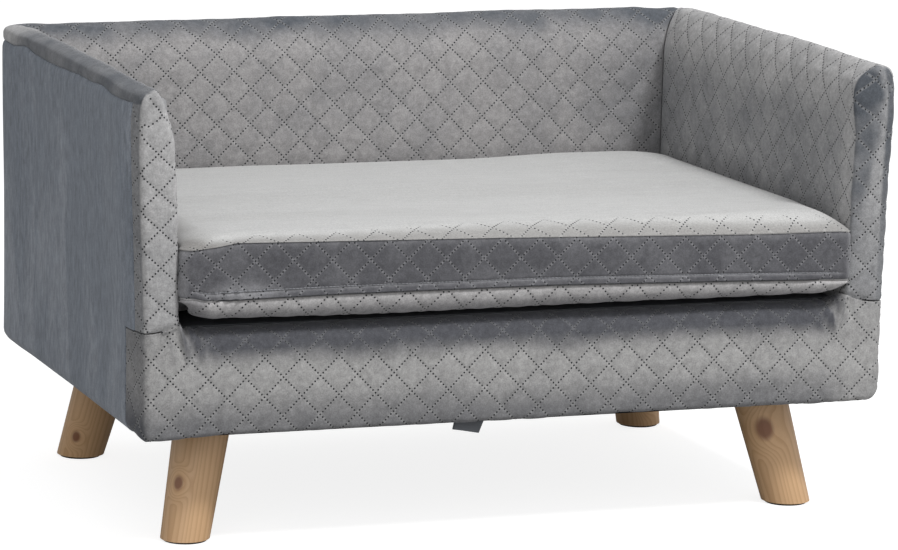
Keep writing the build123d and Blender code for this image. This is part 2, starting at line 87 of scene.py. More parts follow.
@dataclass(frozen=True)
class Quilting:
    """Rows of punched dots that cross in diamonds, and the pressing along them."""

    cell: float = 34.0
    dots_a_side: int = 7
    dot: float = 1.7
    lift: float = 0.14
    press: float = 0.75
    press_width: float = 4.2

    @property
    def side(self) -> float:
        """Length of one side of a diamond."""
        return self.cell / math.sqrt(2)

    def relief(self, quilt: Array) -> Array:
        """Height of the cloth over a place of the quilting.

        Args:
            quilt: places on the cloth, counted from a crossing of the rows.

        Returns:
            Height, nought between the rows and minus the press on them.
        """
        across = np.stack([quilt[..., 0] + quilt[..., 1], quilt[..., 0] - quilt[..., 1]], -1)
        share = across / self.cell
        off_row = np.abs(share - np.round(share)) * self.side
        return -self.press * np.exp(-((off_row / self.press_width) ** 2)).max(-1)


QUILTING = Quilting()
LEG_FOOT, LEG_TOP = (0.287, 0.176, 0.002), (0.265, 0.154, 0.103)
TAG_TOP = np.array(((-53.8, 104.6), (-25.5, 104.6)))
TAG_FOLD = np.array(((-56.5, 95.0), (-32.0, 90.8)))


def linear(code: str) -> tuple[float, float, float, float]:
    """Turns an sRGB hex code into linear red, green, blue and alpha."""
    parts = [int(code[i : i + 2], 16) / 255 for i in (0, 2, 4)]
    return (*[c / 12.92 if c <= 0.04045 else ((c + 0.055) / 1.055) ** 2.4 for c in parts], 1.0)


def add(tree: Tree, kind: str, sockets: dict[str | int, object] | list | None = None,
        **settings: object) -> Node:
    """Adds a node to a tree.

    Args:
        tree: shader or geometry tree.
        kind: Blender's name of the node type, a shader node's without its "ShaderNode", and after a
            space its operation if it has one.
        sockets: what each input gets, by its name or in order: a value, another node's output, or
            a node, which gives its first output. A MapRange's order is value, from, from, to, to.
        settings: the node's own properties.

    Returns:
        The new node.
    """
    kind, _, operation = kind.partition(" ")
    made = tree.nodes.new(kind if "Node" in kind else f"ShaderNode{kind}")
    if operation:
        made.operation = operation
    for name, value in settings.items():
        setattr(made, name, value)
    feed(tree, made, sockets if isinstance(sockets, dict) else dict(enumerate(sockets or [])))
    return made


def feed(tree: Tree, node: Node, sockets: dict[str | int, object]) -> None:
    """Links or sets the inputs of a node, as add does."""
    for name, value in sockets.items():
        source = value.outputs[0] if isinstance(value, Node) else value
        if isinstance(source, bpy.types.NodeSocket):
            tree.links.new(source, node.inputs[name])
        else:
            node.inputs[name].default_value = source


def new_tree(name: str, inputs: dict[str, str]) -> tuple[Tree, bpy.types.NodeOutputs]:
    """Starts a geometry tree.

    Args:
        name: its name.
        inputs: kind of socket for each of its named inputs.

    Returns:
        The tree, and the sockets that give its inputs.
    """
    tree = bpy.data.node_groups.new(name, "GeometryNodeTree")
    for title, kind in inputs.items():
        tree.interface.new_socket(title, in_out="INPUT", socket_type=f"NodeSocket{kind}")
    tree.interface.new_socket("Made", in_out="OUTPUT", socket_type="NodeSocketGeometry")
    return tree, add(tree, "NodeGroupInput").outputs


def new_material(name: str) -> tuple[Material, Tree]:
    """Starts an empty node material and returns it with its tree."""
    material = bpy.data.materials.new(name)
    material.use_nodes = True
    material.node_tree.nodes.clear()
    return material, material.node_tree


@dataclass(frozen=True)
class Velvet:
    """Polyester velvet, woven and brushed: matt, with a pale sheen where the pile is seen edge on.

    The pile's patches, 60 to 120 mm across, lie lighter or darker as it was last brushed. A share painted on
    each piece mixes in a second colour, partly for the pile laid the other way and partly as painted shade
    and painted highlights. The grain of its fibres is drawn 1.3 mm wide, because theirs of 0.03 mm would not
    show, and the pressed rows break up in specks of 1.8 mm.
    """

    name: str
    pile: str
    nap_and_painted_light: str
    row: str
    nap: Nap = Nap.PATCHES
    patch: float = 90.0
    patch_amount: float = 0.6
    quilted: bool = True
    row_amount: float = 0.35
    streak: float = 5.0
    streak_amount: float = 0.16
    fibre: float = 1.3
    speck: float = 1.8

    def make(self) -> Material:
        """Builds the material."""
        material, tree = new_material(self.name)
        where = add(tree, "TexCoord").outputs["Object"]
        stretched = add(tree, "Mapping", {"Vector": where, "Scale": self.nap.value})
        patches = add(tree, "TexNoise", {
            "Vector": stretched, "Scale": 1 / (self.patch * MM), "Detail": 4.0, "Roughness": 0.62,
            "Distortion": 0.6})
        cloudy = add(tree, "MapRange", [patches, 0.42, 0.66, 0.0, self.patch_amount],
                     interpolation_type="SMOOTHSTEP")
        # The painted share mixes in the second colour: the nap's tone, with painted shade and painted
        # highlights.
        painted = add(tree, "Attribute", attribute_name=NAP_AND_LIGHT).outputs["Fac"]
        amount = add(tree, "Math ADD", [cloudy, painted], use_clamp=True)
        colour = add(tree, "Mix", {
            "Factor": amount, 6: linear(self.pile), 7: linear(self.nap_and_painted_light)}, data_type="RGBA").outputs[2]
        grain = add(tree, "TexNoise", {
            "Vector": where, "Scale": 1 / (self.fibre * MM), "Detail": 3.0, "Roughness": 0.7})
        height = add(tree, "Math MULTIPLY", [grain, 0.35])
        if self.quilted:
            colour, height = self.rows(tree, colour, height)
        streaks = add(tree, "TexNoise", {
            "Vector": stretched, "Scale": 1 / (self.streak * MM), "Detail": 3.0, "Roughness": 0.6})
        for value, most in ((grain, 0.2), (streaks, self.streak_amount)):
            shade = add(tree, "MapRange", [value, 0.3, 0.7, 1 - most, 1 + most])
            colour = add(tree, "VectorMath SCALE", {0: colour, "Scale": shade})
        bump = add(tree, "Bump", {"Height": height, "Strength": 0.5, "Distance": 0.9 * MM})
        shader = add(tree, "BsdfPrincipled", {
            "Base Color": colour, "Roughness": 0.92, "IOR": 1.46, "Specular IOR Level": 0.18,
            "Sheen Weight": 0.3, "Sheen Roughness": 0.38, "Sheen Tint": linear("E8EAEE"),
            "Normal": bump})
        add(tree, "OutputMaterial", {"Surface": shader})
        return material

    def rows(self, tree: Tree, colour: Source,
             height: Source) -> tuple[Source, Source]:
        """Lays the pressed rows over the pile: lighter beside the dots, partly the crushed pile's own tone
        and partly a painted highlight on its pressed edges, and a shallow groove.

        Args:
            tree: the material's tree.
            colour: colour of the pile.
            height: height of the pile's grain.

        Returns:
            Colour and height with the rows in them.
        """
        place = add(tree, "SeparateXYZ", [add(tree, "UVMap", uv_map=QUILT_MAP)]).outputs
        row = None
        for sign in (1.0, -1.0):
            total = add(tree, "Math MULTIPLY_ADD", [place[1], sign, place[0]])
            share = add(tree, "Math MULTIPLY", [total, 1 / (QUILTING.cell * MM)])
            off = add(tree, "Math PINGPONG", [share, 0.5])
            near = add(tree, "MapRange", [off, 0.3 / QUILTING.side, 1.7 / QUILTING.side, 1.0, 0.0],
                       interpolation_type="SMOOTHSTEP")
            row = near if row is None else add(tree, "Math MAXIMUM", [row, near])
        speck = add(tree, "TexNoise", {
            "Vector": add(tree, "TexCoord").outputs["Object"], "Scale": 1 / (self.speck * MM), "Detail": 2.0})
        uneven = add(tree, "MapRange", [speck, 0.35, 0.6, 0.35, 1.0])
        for share in (add(tree, "Attribute", attribute_name=OPEN).outputs["Fac"], uneven):
            row = add(tree, "Math MULTIPLY", [row, share])
        # The lighter row colour is partly crushed pile and partly painted highlight where the pressed pile's
        # edges would catch the light.
        lift = add(tree, "Math MULTIPLY", [row, self.row_amount])
        colour = add(tree, "Mix", {
            "Factor": lift, 6: colour, 7: linear(self.row)}, data_type="RGBA").outputs[2]
        return colour, add(tree, "Math MULTIPLY_ADD", [row, -0.55, height])


@dataclass(frozen=True)
class Plain:
    """A plain finish with a grain: cloth, foam, board, rubber or metal."""

    name: str
    colour: str
    second: str
    roughness: float
    grain: float
    bump: float = 0.3
    metallic: float = 0.0
    stretch: tuple[float, float, float] = (1.0, 1.0, 1.0)

    def make(self) -> Material:
        """Builds the material."""
        material, tree = new_material(self.name)
        where = add(tree, "TexCoord").outputs["Object"]
        stretched = add(tree, "Mapping", {"Vector": where, "Scale": self.stretch})
        grain = add(tree, "TexNoise", {
            "Vector": stretched, "Scale": 1 / (self.grain * MM), "Detail": 4.0, "Roughness": 0.65})
        colour = add(tree, "Mix", {
            "Factor": grain, 6: linear(self.colour), 7: linear(self.second)}, data_type="RGBA").outputs[2]
        rough = add(tree, "MapRange", {
            "Value": grain, "To Min": self.roughness - 0.08, "To Max": min(1.0, self.roughness + 0.08)})
        bump = add(tree, "Bump", {
            "Height": grain, "Strength": self.bump, "Distance": self.grain * MM * 0.3})
        shader = add(tree, "BsdfPrincipled", {
            "Base Color": colour, "Roughness": rough, "Metallic": self.metallic, "Normal": bump})
        add(tree, "OutputMaterial", {"Surface": shader})
        return material


@dataclass(frozen=True)
class TurnedPine:
    """Pine turned on a lathe under clear satin lacquer: growth rings cut lengthways, and knots.

    The rings are 4 mm apart across the leg and run along it; a knot is 9 to 16 mm across.
    """

    name: str
    foot: Vector
    top: Vector
    knots: tuple[tuple[float, float, float], ...]
    early: str = "D8B288"
    late: str = "BC9064"
    knot: str = "74422A"
    ring: float = 4.0
    heart: tuple[float, float, float] = (0.034, 0.021, 0.0)
    knot_depth: float = 23.0

    def make(self) -> Material:
        """Builds the material, its grain along the leg from foot to top."""
        material, tree = new_material(self.name)
        where = add(tree, "TexCoord").outputs["Object"]
        turn = (self.top - self.foot).rotation_difference(Vector((0, 0, 1)))
        moved = add(tree, "VectorMath SUBTRACT", [where, self.foot])
        leg = add(tree, "VectorRotate", {
            "Vector": moved, "Rotation": turn.to_euler()}, rotation_type="EULER_XYZ")
        bent, mark = self.knotted(tree, leg)
        heart = add(tree, "VectorMath ADD", [bent, self.heart])
        squeezed = add(tree, "VectorMath MULTIPLY", [heart, (1.0, 1.0, 0.035)])
        wander = add(tree, "TexNoise", {
            "Vector": squeezed, "Scale": 45.0, "Detail": 2.0})
        parts = add(tree, "SeparateXYZ", [squeezed]).outputs
        flat = add(tree, "CombineXYZ", [parts[0], parts[1]])
        radius = add(tree, "VectorMath LENGTH", [flat]).outputs["Value"]
        pushed = add(tree, "Math MULTIPLY_ADD", [wander, 0.012, radius])
        ring = add(tree, "Math MULTIPLY", [pushed, 1 / (self.ring * MM)])
        wave = add(tree, "Math FRACT", [ring, 1.0])
        dark = add(tree, "MapRange", [wave, 0.35, 1.0, 0.0, 0.5],
            interpolation_type="SMOOTHSTEP")
        fibre = add(tree, "TexNoise", {
            "Vector": add(tree, "VectorMath MULTIPLY", [bent, (1.0, 1.0, 0.04)]),
            "Scale": 1400.0, "Detail": 3.0})
        grain = add(tree, "Math MULTIPLY_ADD", [fibre, 0.3, dark])
        wood = add(tree, "Mix", {
            "Factor": grain, 6: linear(self.early), 7: linear(self.late)}, data_type="RGBA").outputs[2]
        colour = add(tree, "Mix", {
            "Factor": mark, 6: wood, 7: linear(self.knot)}, data_type="RGBA").outputs[2]
        bump = add(tree, "Bump", {"Height": grain, "Strength": 0.12, "Distance": 0.0004})
        shader = add(tree, "BsdfPrincipled", {
            "Base Color": colour, "Roughness": 0.46, "IOR": 1.5, "Coat Weight": 0.15,
            "Coat Roughness": 0.35, "Normal": bump})
        add(tree, "OutputMaterial", {"Surface": shader})
        return material

    def knotted(self, tree: Tree,
                leg: Source) -> tuple[Source, Source]:
        """Bends the grain round each knot.

        Args:
            tree: the material's tree.
            leg: places in the leg, its foot at nought and its axis along Z.

        Returns:
            The bent places, and how far each one is inside a knot.
        """
        mark = None
        for angle, height, size in self.knots:
            depth = self.knot_depth * MM
            centre = (depth * math.cos(angle), depth * math.sin(angle), height * MM)
            off = add(tree, "VectorMath SUBTRACT", [leg, centre])
            oval = add(tree, "VectorMath MULTIPLY", [off, (1.0, 1.0, 0.75)])
            reach = add(tree, "VectorMath LENGTH", [oval]).outputs["Value"]
            near = add(tree, "MapRange", [reach, 0.0, size * MM * 1.8, 0.014, 0.0],
                interpolation_type="SMOOTHERSTEP")
            push = add(tree, "CombineXYZ", [near, near])
            leg = add(tree, "VectorMath ADD", [leg, push])
            inside = add(tree, "MapRange", [reach, size * MM * 0.28, size * MM * 0.62, 0.85, 0.0],
                         interpolation_type="SMOOTHSTEP")
            mark = inside if mark is None else add(
                tree, "Math MAXIMUM", [mark, inside])
        return leg, mark


class Finishes:
    """Every material of the sofa, made once."""

    def __init__(self) -> None:
        """Makes them."""
        self.cushion_top = Velvet("velvet_cushion_top", "C7C7C6", "8F8D8B", "D0D0CF", Nap.CROSSWISE,
                                  patch=120.0, patch_amount=0.12, row_amount=0.25, streak_amount=0.045).make()
        self.cushion_band = Velvet("velvet_cushion_band", "5A5A5E", "8D8D90", "A0A0A3",
                                   patch=60.0, patch_amount=0.22, row_amount=0.5).make()
        self.cushion_low = Velvet("velvet_cushion_low", "B8B6B6", "7C7B7D", "B2B1B0", patch=120.0,
                                  patch_amount=0.12, row_amount=0.3).make()
        self.back = Velvet("velvet_back", "9C9A9A", "5C6066", "B2B2B2", patch=60.0, patch_amount=0.2).make()
        self.arm = Velvet("velvet_arm", "B6B5B5", "55595F", "B4B4B4", patch=60.0, patch_amount=0.12).make()
        self.rail = Velvet("velvet_rail", "A9A8A7", "55565B", "B4B4B3", patch_amount=0.12).make()
        # The side velvet's dark blue-grey is partly its nap and partly painted shade, set for the left side
        # that faces away from the key lamp.
        self.side = Velvet("velvet_side", "7D848E", "ABAFB7", "6A6D72", Nap.UPRIGHT, patch_amount=0.42,
                           quilted=False, streak_amount=0.24).make()
        self.thread = Plain("seam_thread", "8A8B90", "9A9BA0", 0.7, 0.4).make()
        # The dots' near-black is painted shade of the punched pits, which are drawn as flat discs.
        self.punch = Plain("punched_dot", "2B2C2F", "1E1F22", 0.95, 0.5).make()
        self.deck = Plain("deck_cloth", "4E5055", "5C5F64", 0.95, 0.9).make()
        self.dust = Plain("dust_cloth", "1B1B1C", "2A2A2B", 0.9, 0.7).make()
        # The tag's dark grey is partly its own colour and partly painted shade from hanging under the rail.
        self.tag = Plain("tag_cloth", "63666B", "6F7277", 0.8, 0.5).make()
        self.tape = Plain("zip_tape", "5A5C60", "6A6C70", 0.9, 0.4).make()
        self.coil = Plain("zip_coil", "4C4E52", "5A5C60", 0.5, 0.6, bump=0.1).make()
        self.board = Plain("particle_board", "B89468", "8F6C44", 0.9, 3.0).make()
        self.timber = Plain("sawn_timber", "D2B083", "B8915E", 0.85, 2.0, stretch=(0.08, 1.0, 1.0)).make()
        self.zinc = Plain("zinc_plate", "B8B8B4", "A6A6A4", 0.35, 2.5, bump=0.08, metallic=1.0).make()
        self.nickel = Plain("nickel_plate", "BDB9B0", "ADA99F", 0.28, 1.5, bump=0.05, metallic=1.0).make()
        self.rubber = Plain("rubber", "161616", "202020", 0.85, 0.8).make()


def spaced(length: float, step: float, seam: tuple[float, ...] = (0.0, 0.7, 1.6, 3.0, 5.0)) -> Array:
    """Stations across a width of cloth, closer together at its two seams.

    Args:
        length: width of the cloth.
        step: about how far apart the stations are between the seams.
        seam: distances of the close stations from each seam.

    Returns:
        The stations, from nought to the length.
    """
    count = max(2, round((length - 2 * seam[-1]) / step))
    inner = np.linspace(seam[-1], length - seam[-1], count + 1)
    return np.concatenate([seam[:-1], inner, length - np.array(seam[:-1])[::-1]])


def by_row(values: Array, shape: tuple[int, int]) -> Array:
    """A value for each row, the same in all its columns."""
    return np.broadcast_to(values[:, None], shape)


def unit(vectors: Array) -> Array:
    """Vectors of the same directions, each one long."""
    return vectors / np.linalg.norm(vectors, axis=-1, keepdims=True)


def travelled(line: Array) -> Array:
    """Distance along a line, at each of its points."""
    return np.concatenate([[0.0], np.cumsum(np.linalg.norm(np.diff(line, axis=0), axis=1))])


def fade(distance: Array, reach: float | Array) -> Array:
    """Runs out from 1 at a place, and before it, with the distance from it."""
    return np.exp(-np.clip(distance, 0, None) / reach)


def bell(value: Array, centre: float, width: float) -> Array:
    """1 at the centre, running out to both sides of it."""
    return np.exp(-(((value - centre) / width) ** 2))


def smooth(low: float, high: float, value: Array) -> Array:
    """Eased step from 0 at low to 1 at high."""
    share = np.clip((value - low) / (high - low), 0, 1)
    return share * share * (3 - 2 * share)


def soft_noise(points: Array, size: float | tuple[float, float, float], seed: int) -> Array:
    """Smooth noise in space.

    Args:
        points: places, three numbers each.
        size: width of its patches, one for all or one for each axis.
        seed: which noise.

    Returns:
        A value from -1 to 1 for each place.
    """
    table = np.random.default_rng(seed).uniform(-1, 1, (32, 32, 32))
    place = points / np.asarray(size)
    base = np.floor(place).astype(int)
    share = place - base
    share = share * share * (3 - 2 * share)
    total = np.zeros(points.shape[:-1])
    for corner in itertools.product((0, 1), repeat=3):
        weight = np.prod(np.where(np.array(corner) == 1, share, 1 - share), -1)
        a, b, c = np.moveaxis((base + corner) % 32, -1, 0)
        total += weight * table[a, b, c]
    return total


def seam_dip(off: Array, depth: float = 1.3, reach: float = 1.6) -> Array:
    """How far cloth rolls in towards a seam, for its distance from the seam."""
    return -depth * fade(off, reach)


def linked(name: str, data: bpy.types.ID) -> Piece:
    """Puts a mesh, a camera or a lamp in the scene as an object of its own."""
    made = bpy.data.objects.new(name, data)
    bpy.context.scene.collection.objects.link(made)
    return made


def evaluated(piece: Piece) -> Mesh:
    """The mesh that a piece has once its modifiers are applied."""
    return bpy.data.meshes.new_from_object(piece.evaluated_get(bpy.context.evaluated_depsgraph_get()))


def coordinates(mesh: Mesh) -> Array:
    """Places of a mesh's points, in metres."""
    flat = np.empty(len(mesh.vertices) * 3)
    mesh.vertices.foreach_get("co", flat)
    return flat.reshape(-1, 3)


@dataclass
class ClothGrid:
    """A grid of cloth, with the place of each point on the quilting."""

    name: str
    points: Array
    quilt: Array
    keep: Array | None = None
    other_quilt: Array | None = None
    other_faces: Array | None = None
    opened: Array | float = 1.0
    nap_and_painted_light: Array | float = 0.0
    faces: Array | None = None

    def make(self, material: Material | list[Material], thickness: float = 1.2,
             outside: Vector | None = None) -> Piece:
        """Makes the cloth a mesh with a thickness.

        Args:
            material: its finish, or several for the numbers in faces.
            thickness: thickness of the cloth, added behind its face.
            outside: a direction that its middle face looks in, to turn the faces to.

        Returns:
            The object.
        """
        n, m = self.points.shape[:2]
        index = np.arange(n * m).reshape(n, m)
        quads = np.stack([index[:-1, :-1], index[:-1, 1:], index[1:, 1:], index[1:, :-1]], -1)
        keep = np.ones(quads.shape[:2], bool) if self.keep is None else self.keep
        other = np.zeros(quads.shape[:2], bool) if self.other_faces is None else self.other_faces
        quads, other = quads[keep], other[keep]
        used, flat = np.unique(quads, return_inverse=True)
        quads = flat.reshape(-1, 4)
        points = self.points.reshape(-1, 3)[used] * MM
        first = self.quilt.reshape(-1, 2)[used]
        second = first if self.other_quilt is None else self.other_quilt.reshape(-1, 2)[used]
        mesh = bpy.data.meshes.new(self.name)
        mesh.from_pydata(points.tolist(), [], quads.tolist())
        places = np.where(other[:, None, None], second[quads], first[quads]) * MM
        mesh.uv_layers.new(name=QUILT_MAP).data.foreach_set("uv", places.astype(np.float32).ravel())
        for name, value in ((OPEN, self.opened), (NAP_AND_LIGHT, self.nap_and_painted_light)):
            spread = np.broadcast_to(value, (n, m)).reshape(-1)[used]
            mesh.attributes.new(name, "FLOAT", "POINT").data.foreach_set("value", spread.astype(np.float32))
        if self.faces is not None:
            mesh.polygons.foreach_set("material_index", self.faces[keep].astype(np.int32))
        return finish_mesh(self.name, mesh, material, thickness, outside)


def finish_mesh(name: str, mesh: Mesh, material: Material | list[Material],
                thickness: float = 0.0,
                outside: Vector | None = None) -> Piece:
    """Welds a mesh, turns its faces outwards, and links it as an object.

    Args:
        name: name of the piece.
        mesh: its mesh, in metres.
        material: its finish, or several.
        thickness: thickness added behind its face, if it is an open sheet.
        outside: a direction that most of its faces look in.

    Returns:
        The object.
    """
    work = bmesh.new()
    work.from_mesh(mesh)
    bmesh.ops.remove_doubles(work, verts=work.verts, dist=2e-6)
    if outside is not None:
        total = sum((f.normal * f.calc_area() for f in work.faces), Vector())
        if total.dot(outside) < 0:
            bmesh.ops.reverse_faces(work, faces=work.faces)
    work.to_mesh(mesh)
    work.free()
    mesh.polygons.foreach_set("use_smooth", [True] * len(mesh.polygons))
    for finish in material if isinstance(material, list) else [material]:
        mesh.materials.append(finish)
    piece = linked(name, mesh)
    if thickness:
        wall = piece.modifiers.new("cloth", "SOLIDIFY")
        wall.thickness, wall.offset, wall.use_rim = thickness * MM, -1.0, True
    return piece


@dataclass(frozen=True)
class BodySizes:
    """Sizes of the padded box, the same as the frame's, and how its soft form departs from them."""

    half_width: float = 342.5
    half_depth: float = 237.5
    underside: float = 103.8
    rail_seam: float = 196.0
    side_seam: float = 388.0
    top: float = 411.0
    arm_wall: float = 33.0
    back_wall: float = 40.0
    rail_wall: float = 26.5
    roll_outer: float = 12.0
    roll_inner: float = 65.0
    rear_corner: float = 14.0
    front_corner: float = 6.0
    seam_wrap: float = 17.0
    rail_wrap: float = 38.0
    lean_front: float = 6.0
    lean_rear: float = 0.8
    puff: float = 8.0
    tilt: float = 3.2
    front_sag: float = 4.0
    seam_raised: float = 8.5
    board_face: float = 325.0
    board_top: float = 391.5
    board_cover: float = 2.5

    @property
    def clear(self) -> float:
        """Half the room between the arms."""
        return self.half_width - self.arm_wall

    def shaped(self, points: Array) -> Array:
        """Turns places on the square box into places on the soft one.

        Args:
            points: places on the square box.

        Returns:
            The places on the soft one, whose arms lean out and whose top edges and seams sag.
        """
        made = points.copy()
        self.puff_sides(made)
        self.round_rear(made)
        front = points[..., 1] + self.half_depth
        self.lean_arms(made, front)
        self.raise_seams(made, points, front)
        self.lower_edges(made, points, front)
        return self.over_board(made)

    def puff_sides(self, made: Array) -> None:
        """Puffs the sides out, less where their cloth is taut between the corners."""
        x, y, z = np.moveaxis(made, -1, 0)
        front = y + self.half_depth
        outer = np.clip((np.abs(x) - 300) / 42.5, 0, None)
        grows = np.where(x < 0, 20.0, 3.2)
        taut = 1 - 0.55 * smooth(30, 120, front) * (1 - smooth(350, 440, front))
        x += np.sign(x) * self.puff * taut * outer * outer * (
            1 - fade(front, grows)) * smooth(-2, 14, z - self.underside + 2)

    def round_rear(self, made: Array) -> None:
        """Rounds the two rear corners in plan."""
        for side in Side:
            centre = np.array([side.value * (self.half_width + self.puff - self.rear_corner),
                               self.half_depth - self.rear_corner])
            off = made[..., :2] - centre
            inside = (off[..., 0] * side.value > 0) & (off[..., 1] > 0)
            square = np.abs(off).max(-1)
            true = np.linalg.norm(off, axis=-1)
            turned = centre + off * (square / np.where(true < 1e-9, 1, true))[..., None]
            made[..., :2] = np.where(inside[..., None], turned, made[..., :2])

    def lean_arms(self, made: Array, front: Array) -> None:
        """Lets the arms lean out to the top, and draws their rolls in at the front."""
        x, y, z = np.moveaxis(made, -1, 0)
        share = smooth(150, self.top, z) * smooth(150, 320, np.abs(x))
        back = (y + self.half_depth) / (2 * self.half_depth)
        lean = self.lean_front + (self.lean_rear - self.lean_front) * back
        x += np.sign(x) * (lean * share - 7.0 * (1 - back) * smooth(375, self.top, z) * smooth(
            318, 345, np.abs(x)))
        arm_side = smooth(305, 312, np.abs(x))
        x += np.where(x < 0, -4.2, -7.0) * fade(front, 45) * smooth(345, 395, z) * (
            1 - smooth(322, 334, np.abs(x))) * arm_side

    def raise_seams(self, made: Array, points: Array, front: Array) -> None:
        """Lifts and waves the side and rear seams, and the rail's seam at the arms' inner edges."""
        z = made[..., 2]
        x0, y0, z0 = np.moveaxis(points, -1, 0)
        wave = soft_noise(np.stack([made[..., 1], 0 * front, 0 * front], -1), 38.0, 61)
        raised = self.seam_raised + 2.5 * fade(front, 60) + 2.0 * wave * smooth(10, 50, front)
        z += raised * bell(z, self.side_seam, 15) * np.maximum(
            smooth(335, 341, np.abs(x0)), smooth(230, 236, y0))
        inward = np.clip((self.half_width - np.abs(x0)) / self.arm_wall, 0, 1) ** 2.5
        beyond = fade(self.clear - np.abs(x0), 8)
        z += 9.0 * inward * beyond * bell(z0, self.rail_seam, 14) * (y0 < -213) * smooth(-213, -222, y0)

    def lower_edges(self, made: Array, points: Array, front: Array) -> None:
        """Sags the back's top, the arms' front ends and the left front bottom corner; tilts the top."""
        x, y, z = np.moveaxis(made, -1, 0)
        x0, y0, z0 = np.moveaxis(points, -1, 0)
        z -= smooth(300, self.top, z0) * smooth(190, 225, y0) * (
            1.3 * (1 - smooth(300, 335, np.abs(x0))) + 3.2 * smooth(285, 325, x0))
        z += 1.8 * smooth(330, self.top, z0) * smooth(320, 330, x0) * (
            smooth(-235, -120, y0) - smooth(100, 215, y0))
        z -= 3.4 * bell(x0, -342, 45) * bell(np.clip(front, 0, None), 0, 30) * (1 - smooth(104, 150, z0))
        high = smooth(200, self.top, z)
        z += high * self.tilt * x / self.half_width
        z -= high * self.front_sag * (1 - (y + self.half_depth) / (2 * self.half_depth)) * smooth(
            290, 320, np.abs(x))

    def over_board(self, points: Array) -> Array:
        """Lays the cloth over the top edge of the arm's board where the roll is drawn in."""
        made = points.copy()
        x, y, z = np.moveaxis(made, -1, 0)
        deep = np.abs(x) - (self.board_face - self.board_cover)
        below = self.board_top + self.board_cover - z
        near = (deep < 11) & (below < 45) & (y < 100) & (np.abs(x) > 300)
        push = 0.5 * (deep + np.hypot(deep, 1.0)) * smooth(-4, 1, below) * smooth(-236, -228, y)
        x -= np.sign(x) * np.where(near, push, 0.0) * (1 - smooth(-30, 60, y))
        return made


SIZES = BodySizes()


class RolledWall:
    """Upright outline of a padded wall: up the outside, over the roll and down the inside."""

    def __init__(self, wall: float, start: float, end: float) -> None:
        """Works out the outline.

        Args:
            wall: thickness of the wall.
            start: height at which the outline starts on the outside.
            end: height at which it ends on the inside.
        """
        small, large = SIZES.roll_outer, SIZES.roll_inner
        turn = math.acos((large - wall + small) / (large - small))
        crown = SIZES.top - small
        self.roll_end = crown - (large - small) * math.sin(turn)
        first, second = np.linspace(math.pi, turn, 60), np.linspace(turn, 0, 40)
        depth = np.concatenate([
            [0.0], small + small * np.cos(first), wall - large + large * np.cos(second), [wall]])
        height = np.concatenate([
            [start], crown + small * np.sin(first), self.roll_end + large * np.sin(second), [end]])
        angle = np.concatenate([[math.pi], first, second, [0.0]])
        share = np.concatenate([[0.0], np.linspace(1, 2, len(first)), np.linspace(2, 3, len(second)), [4.0]])
        travel = np.concatenate([[0.0], np.cumsum(np.hypot(np.diff(depth), np.diff(height)))])
        keep = np.concatenate([[True], np.diff(travel) > 1e-9])
        self.travel, self.depth, self.height, self.angle, self.share = (
            a[keep] for a in (travel, depth, height, angle, share))
        self.length = float(self.travel[-1])

    def share_at(self, travel: Array) -> Array:
        """Share of the outline, 1 at the foot of the roll and 3 at its end, for a travel along it."""
        return np.interp(travel, self.travel, self.share)

    def at(self, share: Array) -> tuple[Array, Array, Array, Array]:
        """Depth from the outer skin, height, and the normal's depth and height parts."""
        depth, height, angle = (
            np.interp(share, self.share, line) for line in (self.depth, self.height, self.angle))
        return depth, height, np.cos(angle), np.sin(angle)


